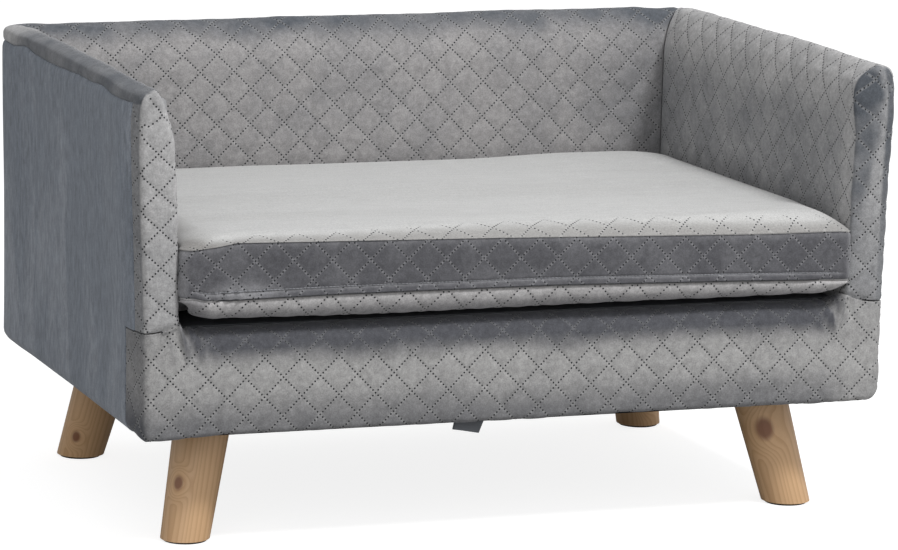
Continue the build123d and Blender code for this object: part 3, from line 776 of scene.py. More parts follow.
@dataclass
class Upholstery:
    """Quilted and plain velvet over the padded box."""

    finishes: Finishes
    step: float = 3.2
    pieces: dict[str, Piece] = field(default_factory=dict)

    def arm(self, side: Side) -> Piece:
        """Cover of an arm: its inner face, the roll on top, its front face and a strip round the corner.

        Args:
            side: left or right.

        Returns:
            The cover, quilted, folded round the front edge.
        """
        low, seam, end = SIZES.rail_seam, SIZES.side_seam, SIZES.rail_seam - 4
        # Rows run up the outside, over the roll and down the inside.
        wall, rear_wall = RolledWall(SIZES.arm_wall, low, end), RolledWall(SIZES.back_wall, low, end)
        heights = np.concatenate([low + spaced(wall.roll_end - low, self.step)[:-4], [wall.roll_end]])
        above = np.concatenate([np.linspace(wall.roll_end, seam - 5, 5)[1:],
                                seam + np.array([-3, -1.5, 0, 0.8, 1.8, 3.2, 6])])
        rise = np.concatenate([heights, above]) - low
        curve_end = wall.length - (wall.roll_end - end)
        rows = np.concatenate([rise, np.linspace(rise[-1], curve_end, 28)[1:-1],
                               curve_end + (wall.roll_end - heights[::-1]), [wall.length]])
        share = wall.share_at(rows)
        depth, height, n_depth, n_up = wall.at(share)
        met_depth, met_height, met_n, met_up = rear_wall.at(share)
        met_depth = met_depth * SIZES.arm_wall / SIZES.back_wall
        radii = [4.0, 4.0, 8.0, 7.0, 6.0, 6.0] if side is Side.LEFT else [4.0, 4.0, 7.0, 4.0, 3.5, 3.5]
        nose = np.interp(
            rows, [0, seam - low, rise[-1] + 16, curve_end - 12, curve_end + 20, wall.length], radii)[:, None]

        # Columns run from the mitre with the back to the front edge, over its nose and across its face.
        mitre = SIZES.half_depth - SIZES.back_wall * met_depth / SIZES.arm_wall
        straight = 2 * SIZES.half_depth - SIZES.back_wall - 8.0
        far = 40.0 + spaced(straight - 40.0 + 5, self.step)[4:] - 5.0
        far = 40.0 + (far - far[0]) * (straight - 40.0) / (far[-1] - far[0])
        strip = nose + (SIZES.seam_wrap - nose) * np.linspace(0, 1, 7)[:-1]
        near = SIZES.seam_wrap + np.array([0, 0.8, 1.8, 3.2, 5.5, 8.5, 12.0, 15.0])
        near = np.broadcast_to(near, (len(rows), len(near)))
        run = np.concatenate([strip, near, np.broadcast_to(far, (len(rows), len(far)))], 1)
        stretch = np.clip((run - 330) / (straight - 330), 0, 1)
        run = (run + stretch * (mitre + SIZES.half_depth - straight)[:, None])[:, ::-1]
        bend = np.radians([0, 14, 28, 42, 56, 70, 82, 90])
        inward = np.linspace(0, 1, 8)[1:]

        # Places and normals, where the arm's outline turns into the back's at the mitre.
        shape = (len(rows), run.shape[1] + len(bend) + len(inward))
        edge = np.full((len(rows), len(inward)), -SIZES.half_depth)
        y = np.concatenate([run - SIZES.half_depth, -SIZES.half_depth + nose * (1 - np.sin(bend)), edge], 1)
        off = np.concatenate([np.zeros_like(run), nose * (1 - np.cos(bend)), np.zeros_like(edge)], 1)
        to_mitre = mitre[:, None] - y
        meet = 1 - smooth(0, 42, to_mitre)
        nd = n_depth[:, None] * (1 - meet) + met_n[:, None] * meet
        nu = n_up[:, None] * (1 - meet) + met_up[:, None] * meet
        d = depth[:, None] * (1 - meet) + met_depth[:, None] * meet - nd * off
        z = height[:, None] * (1 - meet) + met_height[:, None] * meet - nu * off
        edge_d, edge_z = depth[:, None] - n_depth[:, None] * nose, height[:, None] - n_up[:, None] * nose
        d[:, -len(inward):] = edge_d + (SIZES.arm_wall / 2 - edge_d) * inward
        z[:, -len(inward):] = edge_z + (np.minimum(height, wall.roll_end)[:, None] - edge_z) * inward
        x = side.value * (SIZES.half_width - d)
        points = np.stack([x, y, z], -1)
        turn = np.concatenate([np.zeros(run.shape[1]), bend, np.full(len(inward), math.pi / 2)])
        common = np.exp(-to_mitre / 3.0)
        normals = unit(np.stack([-side.value * nd * np.cos(turn), -np.sin(turn) - nd * common,
                                 nu * np.cos(turn) * (1 + common)], -1))

        # The front face and the strip have a quilting of their own.
        along = by_row(end + wall.length - rows, shape)
        inside = np.stack([y - 0.8, along - 5.0], -1)
        drop, narrower = (15.3, 0.33) if side is Side.LEFT else (24.0, 0.0)
        front_u = np.where((d < 4.5) & (turn < 1.2) & (rows < seam - low + 12)[:, None],
                           -15.5 - (y + SIZES.half_depth), d * (1 - narrower * smooth(350, 400, z)) - 15.5)
        front = np.stack([front_u + 20 * QUILTING.cell, z - drop], -1)
        columns, first_strip = run.shape[1], run.shape[1] - strip.shape[1] - 1
        outer = np.arange(shape[0] - 1) < np.searchsorted(rise, seam - low)
        column = np.arange(shape[1] - 1)
        keep = ~(outer[:, None] & (column < first_strip)[None, :])
        use_front = (column >= columns + len(bend) - 4)[None, :] | outer[:, None]

        # Relief, which runs out at the seams.
        on_side = (rows < seam - low - 1e-6)[:, None] & np.ones(shape, bool)
        from_front = y + SIZES.half_depth
        wrap = np.where(on_side & (from_front > 2), SIZES.seam_wrap - from_front, 99.0)
        roll = np.where(~on_side & (from_front > SIZES.seam_wrap - 1) & (rows < curve_end)[:, None],
                        rows[:, None] - (seam - low), 99.0)
        bottom = np.where(from_front < 30, z - low, 99.0)
        nearest = np.minimum.reduce([wrap, roll, bottom, to_mitre])
        lattice = np.where(((turn > 1.2)[None, :] | on_side)[..., None], front, inside)
        opened = smooth(3, 17, d) if side is Side.LEFT else smooth(2, 12, d)
        opened = np.where(on_side | (turn > 0.8)[None, :], 1.0, opened)
        bulge = QUILTING.relief(lattice) * opened + 0.9 * soft_noise(points, 60.0, 5)
        bulge += 0.4 * soft_noise(points, 22.0, 6)
        pillow = 2.4 * (1 - ((d - 16.5) / 16.5) ** 2) * np.clip(np.sin(turn), 0, 1) ** 2
        bulge = (bulge + pillow) * smooth(0, 6, nearest) + seam_dip(nearest)
        bulge += seam_dip(to_mitre, 1.2, 3.0)
        crease = -1.6 * bell(from_front, 4.5, 1.5) * (d < 5) * smooth(196, 215, z)
        pucker = fade(z - low, 10) * (from_front < 30) * soft_noise(points, (6.0, 6.0, 18.0), 7)
        pucker += 0.5 * fade(roll, 9) * soft_noise(points, (24.0, 17.0, 24.0), 8)
        points = points + normals * (bulge + crease + 0.9 * pucker * smooth(0, 2.5, nearest))[..., None]

        nap_and_painted_light = self.arm_nap_and_shade(side, points, d, turn, on_side)
        grid = ClothGrid(f"{side.word}_arm_cover_soft", SIZES.shaped(points), inside, keep, front,
                         np.broadcast_to(use_front, keep.shape), opened, nap_and_painted_light)
        piece = grid.make(self.finishes.arm, outside=Vector((-side.value, -0.5, 0.3)))
        return self.settle(piece, "quilted_velvet", 0.95, f"{side.word}_arm_cover", f"{side.word}_arm_foam")

    @staticmethod
    def arm_nap_and_shade(side: Side, points: Array, depth: Array, turn: Array, on_side: Array) -> Array:
        """How far the pile of an arm lies the dark way, with painted shade on faces turned from the key lamp
        and beside the right arm's front fold.

        Args:
            side: left or right.
            points: places on the arm.
            depth: their depth from the outer skin.
            turn: how far the cloth has turned to the front, in radians.
            on_side: which of them lie on the strip round the corner.

        Returns:
            A share, 0 for the light way and 1 for the dark.
        """
        cloud = soft_noise(points, (16.0, 45.0, 30.0), 41) + 0.5 * soft_noise(points, 12.0, 42)
        z, front = points[..., 2], smooth(0.15, 0.75, np.broadcast_to(turn, depth.shape))
        if side is Side.LEFT:
            deep = smooth(8, 22, depth)
            roll = 0.75 * (1 - 0.95 * smooth(140, 200, points[..., 1])) * (1 - deep) + 0.25 * deep
            # The strip round the left arm's outer corner gets painted shade, as the left side faces away from
            # the key lamp.
            share = (1 - front) * np.where(on_side, 0.58, 0.06 + roll + 0.12 * cloud)
            return np.clip(share + front * (0.12 + 0.12 * (1 - smooth(220, 330, z)) + 0.05 * cloud), 0, 1)
        # The right arm's inner face, turned away from the key lamp, gets painted shade.
        inner = (0.45 - 0.1 * (1 - smooth(225, 300, z))) * (1 - smooth(348, 385, z)) * (
            1 - 0.75 * (1 - smooth(-222, -196, points[..., 1]))) + 0.15 * cloud
        # A dark band beside the fold at the right arm's front inner edge, darkest at the top: painted shade
        # of the fold.
        reach = 7 + 17 * smooth(250, 385, z)
        band = smooth(-reach - 7, 3 - reach, depth - SIZES.arm_wall) * smooth(232, 300, z) * 0.85
        band += 0.35 * smooth(352, 392, z)
        edge = (1 - smooth(2.0, 6.5, depth)) * (0.9 - 0.25 * (1 - smooth(215, 330, z)))
        face = 0.35 + 0.12 * (1 - smooth(220, 330, z)) + band * (0.5 + 0.3 * cloud)
        share = (1 - front) * np.where(on_side, 0.9, inner) + front * face
        return np.clip(np.maximum(share, edge * (turn > 0)), 0, 1)

    def back(self) -> Piece:
        """Cover of the back: its inner face and the roll on top, between the mitres."""
        end = SIZES.rail_seam - 4
        wall = RolledWall(SIZES.back_wall, SIZES.side_seam, end)
        rows = spaced(wall.length, self.step)
        depth, height, n_depth, n_up = wall.at(wall.share_at(rows))
        reach = SIZES.half_width - SIZES.arm_wall * depth / SIZES.back_wall
        across = spaced(2.0, 0.0105, (0.0, 0.0022, 0.005, 0.009, 0.015)) - 1.0
        x = reach[:, None] * across
        shape = x.shape
        y = by_row(SIZES.half_depth - depth, shape)
        z = by_row(height, shape)
        points = np.stack([x, y, z], -1)
        side = reach[:, None] - np.abs(x)
        common = fade(side, 3.0)
        nd, nu = by_row(n_depth, shape), by_row(n_up, shape)
        normals = unit(np.stack([-np.sign(x) * nd * common, -nd, nu * (1 + common)], -1))
        along = by_row(end + wall.length - rows, shape)
        quilt = np.stack([x * 1.0058 - 3.5, along + 12.3], -1)
        opened = smooth(5, 16, by_row(depth, shape))
        bulge = QUILTING.relief(quilt) * opened + 1.0 * soft_noise(points, 75.0, 11)
        bulge += 0.4 * soft_noise(points, 25.0, 12)
        nearest = np.minimum(by_row(rows, shape), side)
        gather = fade(side, 16) * soft_noise(points, (40.0, 40.0, 17.0), 13)
        bulge = (bulge + 1.6 * gather) * smooth(0, 6, nearest) + seam_dip(nearest) + seam_dip(side, 1.2, 3.0)
        points = points + normals * bulge[..., None]
        cloud = soft_noise(points, (60.0, 60.0, 35.0), 43) + 0.5 * soft_noise(points, 20.0, 44)
        nap_and_painted_light = np.clip(smooth(384, 409, z + 4 * cloud) * (0.8 + 0.2 * cloud) + 0.06 * cloud
                          + 0.3 * smooth(190, 290, x), 0, 1)
        grid = ClothGrid("back_cover_soft", SIZES.shaped(points), quilt, opened=opened, nap_and_painted_light=nap_and_painted_light)
        piece = grid.make(self.finishes.back, outside=Vector((0, -1, 0.3)))
        return self.settle(piece, "quilted_velvet", 0.95, "back_cover", "back_foam")

    def rail(self) -> Piece:
        """Cover of the front rail, wrapped round both front corners and under the base."""
        travel, plan, normal = plan_path([
            (-SIZES.half_width, -SIZES.half_depth + SIZES.rail_wrap),
            (-SIZES.half_width, -SIZES.half_depth), (SIZES.half_width, -SIZES.half_depth),
            (SIZES.half_width, -SIZES.half_depth + SIZES.rail_wrap)], SIZES.front_corner)
        columns = spaced(travel[-1], self.step)
        x0, y0, nx, ny = (np.interp(columns, travel, a) for a in (*plan.T, *normal.T))
        open_share = (1 - smooth(SIZES.clear - 4, SIZES.clear + 2, np.abs(x0))) * (ny < -0.9)
        nose = 1.5 + 19.5 * open_share
        flat = 3.0 + (SIZES.rail_wall - nose - 3.0) * open_share
        low, top, foot = SIZES.underside, SIZES.rail_seam, 5.0
        quarter = math.pi / 2
        rows = [(20.0, low, -quarter), (12.5, low, -quarter)]
        rows += [(foot * (1 - math.sin(a)), low + foot * (1 - math.cos(a)), a - quarter)
                 for a in np.radians([0, 25, 50, 75, 90])]
        rows += [(0.0, low + foot + share * (top - nose - low - foot), 0.0)
                 for share in spaced(1.0, 0.04, (0.0, 0.01, 0.03))[1:]]
        rows += [(nose * (1 - math.cos(a)), top - nose * (1 - math.sin(a)), a)
                 for a in np.radians([12, 24, 36, 48, 60, 72, 90])]
        rows += [(nose + share * flat, top, quarter) for share in (0.3, 0.6, 0.85, 1.0)]
        inset, height, turn = (
            np.stack([np.broadcast_to(row[i], columns.shape) for row in rows]) for i in range(3))
        step = np.hypot(np.diff(inset, axis=0), np.diff(height, axis=0))
        arc = np.concatenate([np.zeros((1, len(columns))), np.cumsum(step, 0)])
        base = np.argmin(np.abs(height - (low + foot)) + 100 * (inset > 1e-6), 0)
        arc = arc - arc[base, np.arange(len(columns))] + low + foot
        points = np.stack([x0 - nx * inset, y0 - ny * inset, height], -1)
        normals = np.stack([nx * np.cos(turn), ny * np.cos(turn), np.sin(turn)], -1)
        across = np.broadcast_to(columns - travel[-1] / 2, arc.shape)
        quilt = np.stack([across * 1.0144 + 0.7, arc + 2.3 + 0.0096 * across], -1)
        bulge = QUILTING.relief(quilt) + 1.2 * soft_noise(points, 95.0, 21)
        bulge += 0.4 * soft_noise(points, 25.0, 22)
        sewn = smooth(SIZES.clear - 5, SIZES.clear, np.abs(x0))[None, :]
        ends = np.broadcast_to(np.minimum(columns, travel[-1] - columns), arc.shape)
        nearest = np.minimum(ends, np.where(sewn > 0.5, top - height, 99.0))
        pucker = fade(top - height, 9) * sewn * soft_noise(points, (6.0, 6.0, 18.0), 23)
        gather = bell(np.abs(x0), 300, 16) * smooth(162, 186, height) * np.sin(
            x0 * 0.5 + 0.16 * (height - 196) + 0.8 * soft_noise(points, 30.0, 24))
        bulge = (bulge + 1.0 * pucker + 2.2 * gather) * smooth(0, 5, nearest) + seam_dip(nearest)
        points = points + normals * bulge[..., None]
        cloud = soft_noise(points, (38.0, 38.0, 14.0), 45) + 0.4 * soft_noise(points, 11.0, 46)
        wrapped = smooth(0.5, 0.98, np.abs(nx))[None, :]
        shorter = 1 - 0.9 * smooth(SIZES.clear - 16, SIZES.clear + 4, np.abs(x0) + 4 * cloud)
        # Darker toward the rail's top under the cushion's overhang: painted shade; the left corner's wrap is
        # darker too: painted shade on the side turned from the key lamp.
        nap_and_painted_light = smooth(160, 184, height + 3 * cloud) * shorter + np.where(x0 < 0, 0.4, 0.1) * wrapped
        # The gathers' folds darken the pile: painted shade in the creases.
        nap_and_painted_light += 0.4 * np.clip(gather, -1, 1)
        # Darker toward the rail's bottom edge, less so at the right end: painted shade.
        nap_and_painted_light += (0.06 + 0.6 * (1 - smooth(108, 150, height + 4 * cloud))) * (
            1 - 0.7 * smooth(285, 320, x0))
        nap_and_painted_light = np.clip(nap_and_painted_light, 0, 1)
        opened = 1 - 0.5 * smooth(0.4, 0.9, nap_and_painted_light) * (1 - wrapped) * (height > 150)
        grid = ClothGrid("rail_cover_soft", SIZES.shaped(points), quilt, opened=opened, nap_and_painted_light=nap_and_painted_light)
        piece = grid.make(self.finishes.rail, outside=Vector((0, -1, 0)))
        return self.settle(piece, "quilted_velvet", 0.95, "front_rail_cover", "front_rail_foam")

    def plain(self, name: str, corners: list[tuple[float, float]], starts: tuple[float, float],
              outside: Vector, nodes: tuple[str, ...]) -> Piece:
        """A plain outer cover, from under the base up to its seam below the roll.

        Args:
            name: name of the piece.
            corners: its line in plan.
            starts: length of the line left to the rail's cover below the rail's seam, at each end.
            outside: the direction that it faces.
            nodes: the frame's nodes that it stands for.

        Returns:
            The cover.
        """
        travel, plan, normal = plan_path(corners, SIZES.rear_corner)
        columns = spaced(travel[-1], self.step * 1.2)
        for cut in starts:
            if cut:
                columns = np.unique(np.concatenate([columns, [cut, cut + 1, cut + 2.5]]))
        x0, y0, nx, ny = (np.interp(columns, travel, a) for a in (*plan.T, *normal.T))
        low, foot, top = SIZES.underside, 4.0, SIZES.side_seam
        angles = np.radians([0, 30, 60, 90])
        split = SIZES.rail_seam
        upright = np.concatenate([
            low + foot + spaced(split - low - foot, 4.0)[1:], split + spaced(top - split, 4.0)[1:]])
        inset = np.concatenate([[20.0, 12.0], foot * (1 - np.sin(angles)), np.zeros(len(upright))])
        height = np.concatenate([[low, low], low + foot * (1 - np.cos(angles)), upright])
        turn = np.concatenate([[-math.pi / 2] * 2, angles - math.pi / 2, np.zeros(len(upright))])
        shape = (len(height), len(columns))
        points = np.stack([x0 - nx * inset[:, None], y0 - ny * inset[:, None],
                           by_row(height, shape)], -1)
        normals = np.stack([nx * np.cos(turn)[:, None], ny * np.cos(turn)[:, None],
                            by_row(np.sin(turn), shape)], -1)
        bulge = soft_noise(points, (120.0, 120.0, 190.0), 31)
        bulge += 0.2 * soft_noise(points, (30.0, 30.0, 80.0), 32)
        nearest = np.minimum(top - points[..., 2], np.minimum(columns, travel[-1] - columns))
        pucker = fade(top - points[..., 2], 9) * soft_noise(points, (14.0, 9.0, 30.0), 8)
        bulge = (bulge + 1.2 * pucker) * smooth(0, 6, nearest) + seam_dip(nearest)
        points = points + normals * bulge[..., None]
        keep = np.ones((shape[0] - 1, shape[1] - 1), bool)
        below = height[:-1] < split - 1e-6
        if starts[0]:
            keep &= ~(below[:, None] & (columns[:-1] < starts[0] - 1e-6)[None, :])
        if starts[1]:
            keep &= ~(below[:, None] & (columns[1:] > travel[-1] - starts[1] + 1e-6)[None, :])
        quilt = np.stack([np.broadcast_to(columns, shape), by_row(height, shape)], -1)
        piece = ClothGrid(name, SIZES.shaped(points), quilt, keep).make(self.finishes.side, outside=outside)
        return self.settle(piece, "plain_velvet", 0.9, *nodes)

    def outer_covers(self) -> None:
        """The plain covers of both sides and of the rear."""
        turn = SIZES.rear_corner * (1 - math.sqrt(0.5))
        corner = (SIZES.half_width - turn, SIZES.half_depth - turn)
        start = -SIZES.half_depth + SIZES.seam_wrap
        for side in Side:
            line = [(side.value * SIZES.half_width, start), (side.value * SIZES.half_width, SIZES.half_depth),
                    (side.value * corner[0], SIZES.half_depth)]
            self.plain(f"{side.word}_side_cover_soft", line, (SIZES.rail_wrap - SIZES.seam_wrap, 0.0),
                       Vector((side.value, 0, 0)), (f"{side.word}_side_cover", f"{side.word}_side_wadding"))
        line = [(-SIZES.half_width, corner[1]), (-SIZES.half_width, SIZES.half_depth),
                (SIZES.half_width, SIZES.half_depth), (SIZES.half_width, corner[1])]
        self.plain("rear_cover_soft", line, (0.0, 0.0), Vector((0, 1, 0)), ("rear_cover", "rear_wadding"))

    def settle(self, piece: Piece, slot: str, fill: float, *nodes: str) -> Piece:
        """Puts a padded piece on the sofa's body in place of the frame's nodes."""
        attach(piece, "sofa")
        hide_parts(*nodes)
        self.pieces[piece.name] = piece
        log.info("%s: %d faces", piece.name, len(piece.data.polygons))
        return piece


def plan_path(corners: list[tuple[float, float]], radius: float) -> tuple[Array, Array, Array]:
    """A line in plan with rounded corners.

    Args:
        corners: its corners and ends, with the sofa on its left hand.
        radius: radius at each corner; a corner whose next run is shorter keeps part of its arc.

    Returns:
        Distance along it, its points, and its outward normals.
    """
    points = [np.array(c, float) for c in corners]
    made = [points[0]]
    for before, corner, after in zip(points, points[1:], points[2:]):
        back, on = unit(before - corner), unit(after - corner)
        centre = corner + (back + on) * radius
        start = math.atan2(*(-on)[::-1])
        sweep = math.atan2(np.cross(-on, -back), np.dot(-on, -back))
        for share in np.linspace(0, 1, 25):
            angle = start + share * sweep
            made.append(centre + radius * np.array([math.cos(angle), math.sin(angle)]))
    made.append(points[-1])
    line = np.array(made)
    first, last = line[0], line[-1]
    ok = np.ones(len(line), bool)
    for end, inner in ((first, points[1]), (last, points[-2])):
        run = np.linalg.norm(inner - end)
        if run < radius:
            near = np.linalg.norm(line - end, axis=1) < 1e-6
            ok &= ~near
            middle = corner_middle(inner, end, points)
            ok &= np.where(np.linalg.norm(line - inner, axis=1) < 3 * radius, middle(line), True)
    line = line[ok]
    line = line[np.concatenate([[True], np.linalg.norm(np.diff(line, axis=0), axis=1) > 1e-6])]
    travel = travelled(line)
    tangent = unit(np.gradient(line, travel, axis=0))
    normal = np.stack([tangent[:, 1], -tangent[:, 0]], -1)
    outward = np.sign((normal * line).sum(1).mean())
    return travel, line, normal * outward


def corner_middle(inner: Array, end: Array, points: list[Array]) -> Callable[[Array], Array]:
    """Test for points on the first half of a rounded corner, where a cover ends at the corner's seam."""
    other = next(p for i, p in enumerate(points) if p is not inner and p is not end
                 and (points[max(i - 1, 0)] is inner or points[min(i + 1, len(points) - 1)] is inner))
    on, back = unit(other - inner), unit(end - inner)
    return lambda line: (line - inner) @ on >= (line - inner) @ back - 1e-6


@dataclass(frozen=True)
class CushionSizes:
    """Sizes of the seat cushion, whose front stands a little before the arms."""

    half_width: float = 314.5
    front: float = -247.5
    rear: float = 194.5
    front_corner: float = 10.0
    rear_corner: float = 26.0
    underside: float = 197.5
    crown: float = 277.8
    slot_half: float = 268.0
    slot_low: float = 215.7
    slot_high: float = 229.4
    slot_back: float = -221.2
    stitch_above: float = 6.2
    between_arms: float = 309.0
    before_back: float = 196.2
    above_deck: float = 196.4
    cap: float = 11.0
    crown_run: float = 40.0
    crown_power: float = 2.8
    box_cell: float = 34.51
    top_cell: float = 35.8
    feel: float = 40.0

    def seam(self, x: Array, front: Array) -> Array:
        """Height of the top seam, which lies higher at the left front than at the right."""
        line = np.interp(x, [-317, -300, -283, -265, -203, -26, 100, 221, 300, 313],
                         [266.5, 267, 268.8, 272.0, 270.8, 267.7, 264.6, 261.8, 261.5, 260.0])
        return 264.0 + (line - 264.0) * front + 3.0 * smooth(250, 305, x) * (1 - front)

    def flap(self, x: Array, front: Array) -> Array:
        """Height of the flap's folded edge."""
        line = np.interp(x, [-303, -292, -276, -165, -130, 29, 131, 208, 305],
                         [226.0, 223.4, 223.2, 224.6, 224.6, 224.4, 222.3, 220.8, 218.1])
        return 218.7 + (line - 218.7) * front

    def under(self, x: Array, front: Array) -> Array:
        """Height of the underside, whose front edge curls up and more so at its ends."""
        line = np.interp(x, [-315, -309, -305, -299, -282, -270, -213, -126, 34, 214, 286, 297, 304, 309,
                             314],
                         [220.0, 216.0, 212.4, 208.6, 205.2, 204.8, 204.2, 203.0, 203.6, 204.2, 204.6, 206.2,
                          208.8, 211.6, 215.5])
        return self.underside + (line - self.underside) * front


class Cloth(IntEnum):
    """The cloths of the cushion's cover, numbered as its finishes are."""

    TOP = 0
    BOXING = 1
    LOWER = 2
    TAPE = 3


class SeatCushion:
    """The loose cushion: crowned top, boxing with a flap over the zip, and a lower cover."""

    levels = np.array([202.0, 207.0, 212.0, 217.0, 222.0, 230.0, 238.0, 246.0, 254.0, 260.0, 265.0])
    low_quilt = np.array([0, 12 * QUILTING.cell])

    def __init__(self, finishes: Finishes, sizes: CushionSizes = CushionSizes()) -> None:
        """Lays out the plan and the seams, fills the cushion and feels for its skin."""
        self.finishes = finishes
        self.sizes = sizes
        self.travel, self.path, self.normal, self.inner = self.plan(3.4, sizes.crown_run)
        self.x, self.y = self.path.T
        self.facing = np.clip(-self.normal[:, 1], 0, 1)
        self.front = smooth(150, 225, -self.y)
        self.seam, self.flap = sizes.seam(self.x, self.front), sizes.flap(self.x, self.front)
        closed = smooth(sizes.slot_half - 2, sizes.slot_half + 12, np.abs(self.x))
        self.slot = (1 - closed) * (self.facing > 0.9)
        self.form = self.filled()
        skins = np.clip(np.stack([self.skin(level) for level in self.levels]), -4.0, 2.5)
        self.skins = skins - 0.7 * skins[4]

    def plan(self, step: float, inset: float = 0.0) -> tuple[Array, Array, Array, Array]:
        """The cushion's outline in plan.

        Args:
            step: about how far apart its points are.
            inset: how far inside it a second outline runs, with wider corners.

        Returns:
            Distance along it, its points, its outward normals, and the second outline's points.
        """
        first, second = self.outline(0.0, 0.0), self.outline(inset, 0.8 * inset)
        travel = travelled(first)
        stations = np.linspace(0, travel[-1], round(travel[-1] / step) + 1)
        points, inner = (np.stack([np.interp(stations, travel, line[:, i]) for i in (0, 1)], -1)
                         for line in (first, second))
        tangent = np.gradient(points, axis=0)
        tangent[0] = tangent[-1] = (1, 0)
        tangent = unit(tangent)
        normal = np.stack([-tangent[:, 1], tangent[:, 0]], -1)
        return stations, points, normal * np.sign((normal * points).sum(1).mean()), inner

    def outline(self, inset: float, wider: float) -> Array:
        """Corner points and arcs of the outline, moved in by the inset and with wider corners."""
        s = self.sizes
        wide, rear, front = s.half_width - inset, s.rear - inset, s.front + inset
        at_rear, at_front = s.rear_corner + wider, s.front_corner + wider
        corners = [(0.0, rear, 0.0), (wide - 5, rear, at_rear), (wide, front, at_front),
                   (-wide, front, at_front), (-wide + 5, rear, at_rear), (0.0, rear, 0.0)]
        line = []
        for (x0, y0, _), (x, y, r), (x2, y2, _) in zip(corners, corners[1:], corners[2:]):
            back, on = unit(np.array([x0 - x, y0 - y])), unit(np.array([x2 - x, y2 - y]))
            centre = np.array([x, y]) + (back + on) * r
            for angle in np.linspace(0, math.pi / 2, 13):
                line.append(centre - r * (on * math.cos(angle) + back * math.sin(angle)))
        return np.array([(0.0, rear), *line, (0.0, rear)])

    def filled(self) -> BVHTree:
        """The stuffed form: a smaller closed shape blown up by cloth simulation.

        Returns:
            A search tree of its surface, in millimetres.
        """
        path, normal = (line[:-1] for line in self.plan(9.0)[1:3])
        rings = [np.column_stack([path - normal * (inset + 6.0), np.full(len(path), z)]) for z, inset in (
            (198.5, 13.0), (200.5, 6.0), (205.0, 2.0), (211.0, 0.0), (255.0, 0.0), (261.0, 1.5), (266.0, 6.0),
            (268.0, 13.0))]
        work = bmesh.new()
        loops = [[work.verts.new(Vector(p) * MM) for p in ring] for ring in rings]
        for low, high in zip(loops, loops[1:]):
            for i in range(len(low)):
                work.faces.new((low[i - 1], low[i], high[i], high[i - 1]))
        work.faces.new(loops[0])
        work.faces.new(loops[-1])
        bmesh.ops.recalc_face_normals(work, faces=work.faces)
        mesh = bpy.data.meshes.new("cushion_filling")
        work.to_mesh(mesh)
        work.free()
        form = linked("cushion_filling", mesh)
        blocks = form.modifiers.new("blocks", "REMESH")
        blocks.mode, blocks.voxel_size = "VOXEL", 0.006
        self.blow_up(form)
        done = evaluated(form)
        polygons = [tuple(polygon.vertices) for polygon in done.polygons]
        tree = BVHTree.FromPolygons((coordinates(done) / MM).tolist(), polygons)
        bpy.data.objects.remove(form)
        return tree

    def blow_up(self, form: Piece) -> None:
        """Runs the cloth simulation and keeps its result, with no point further out than the cap."""
        start = evaluated(form)
        form.modifiers.clear()
        form.data = start
        before = coordinates(start)
        cloth = form.modifiers.new("stuffing", "CLOTH")
        cloth.settings.quality = 5
        cloth.settings.use_pressure, cloth.settings.uniform_pressure_force = True, 4.0
        cloth.settings.effector_weights.gravity = 0.0
        cloth.settings.tension_stiffness = cloth.settings.compression_stiffness = 12.0
        cloth.collision_settings.use_collision = False
        for number in range(1, 21):
            bpy.context.scene.frame_set(number)
        move = coordinates(evaluated(form)) - before
        reach = np.linalg.norm(move, axis=1, keepdims=True)
        cap = self.sizes.cap * MM
        move *= np.where(reach > 1e-9, cap * np.tanh(reach / cap) / np.maximum(reach, 1e-9), 1)
        form.modifiers.clear()
        bpy.context.scene.frame_set(1)
        start.vertices.foreach_set("co", (before + move).ravel())
        start.update()

    def skin(self, level: float) -> Array:
        """How far the filled form's skin lies outside the plan line, at one height."""
        found, feel = np.zeros(len(self.x)), self.sizes.feel
        for i, (place, out) in enumerate(zip(self.path, self.normal)):
            start = Vector((*(place + out * feel), level))
            hit = self.form.ray_cast(start, Vector((*-out, 0)), 90)[3]
            found[i] = 0.0 if hit is None else feel - hit
        window = np.hanning(9)[1:-1]
        row = np.concatenate([found[-8:-1], found, found[1:8]])
        return np.convolve(row, window / window.sum(), "same")[7:-7]

    def out_at(self, height: Array) -> Array:
        """How far the skin lies outside the plan line, at a height for each column."""
        count = len(self.levels)
        place = np.clip(np.interp(height, self.levels, np.arange(count)), 0, count - 1.001)
        low, column = place.astype(int), np.arange(len(self.x))
        below, above = self.skins[low, column], self.skins[low + 1, column]
        return below + (above - below) * (place - low)

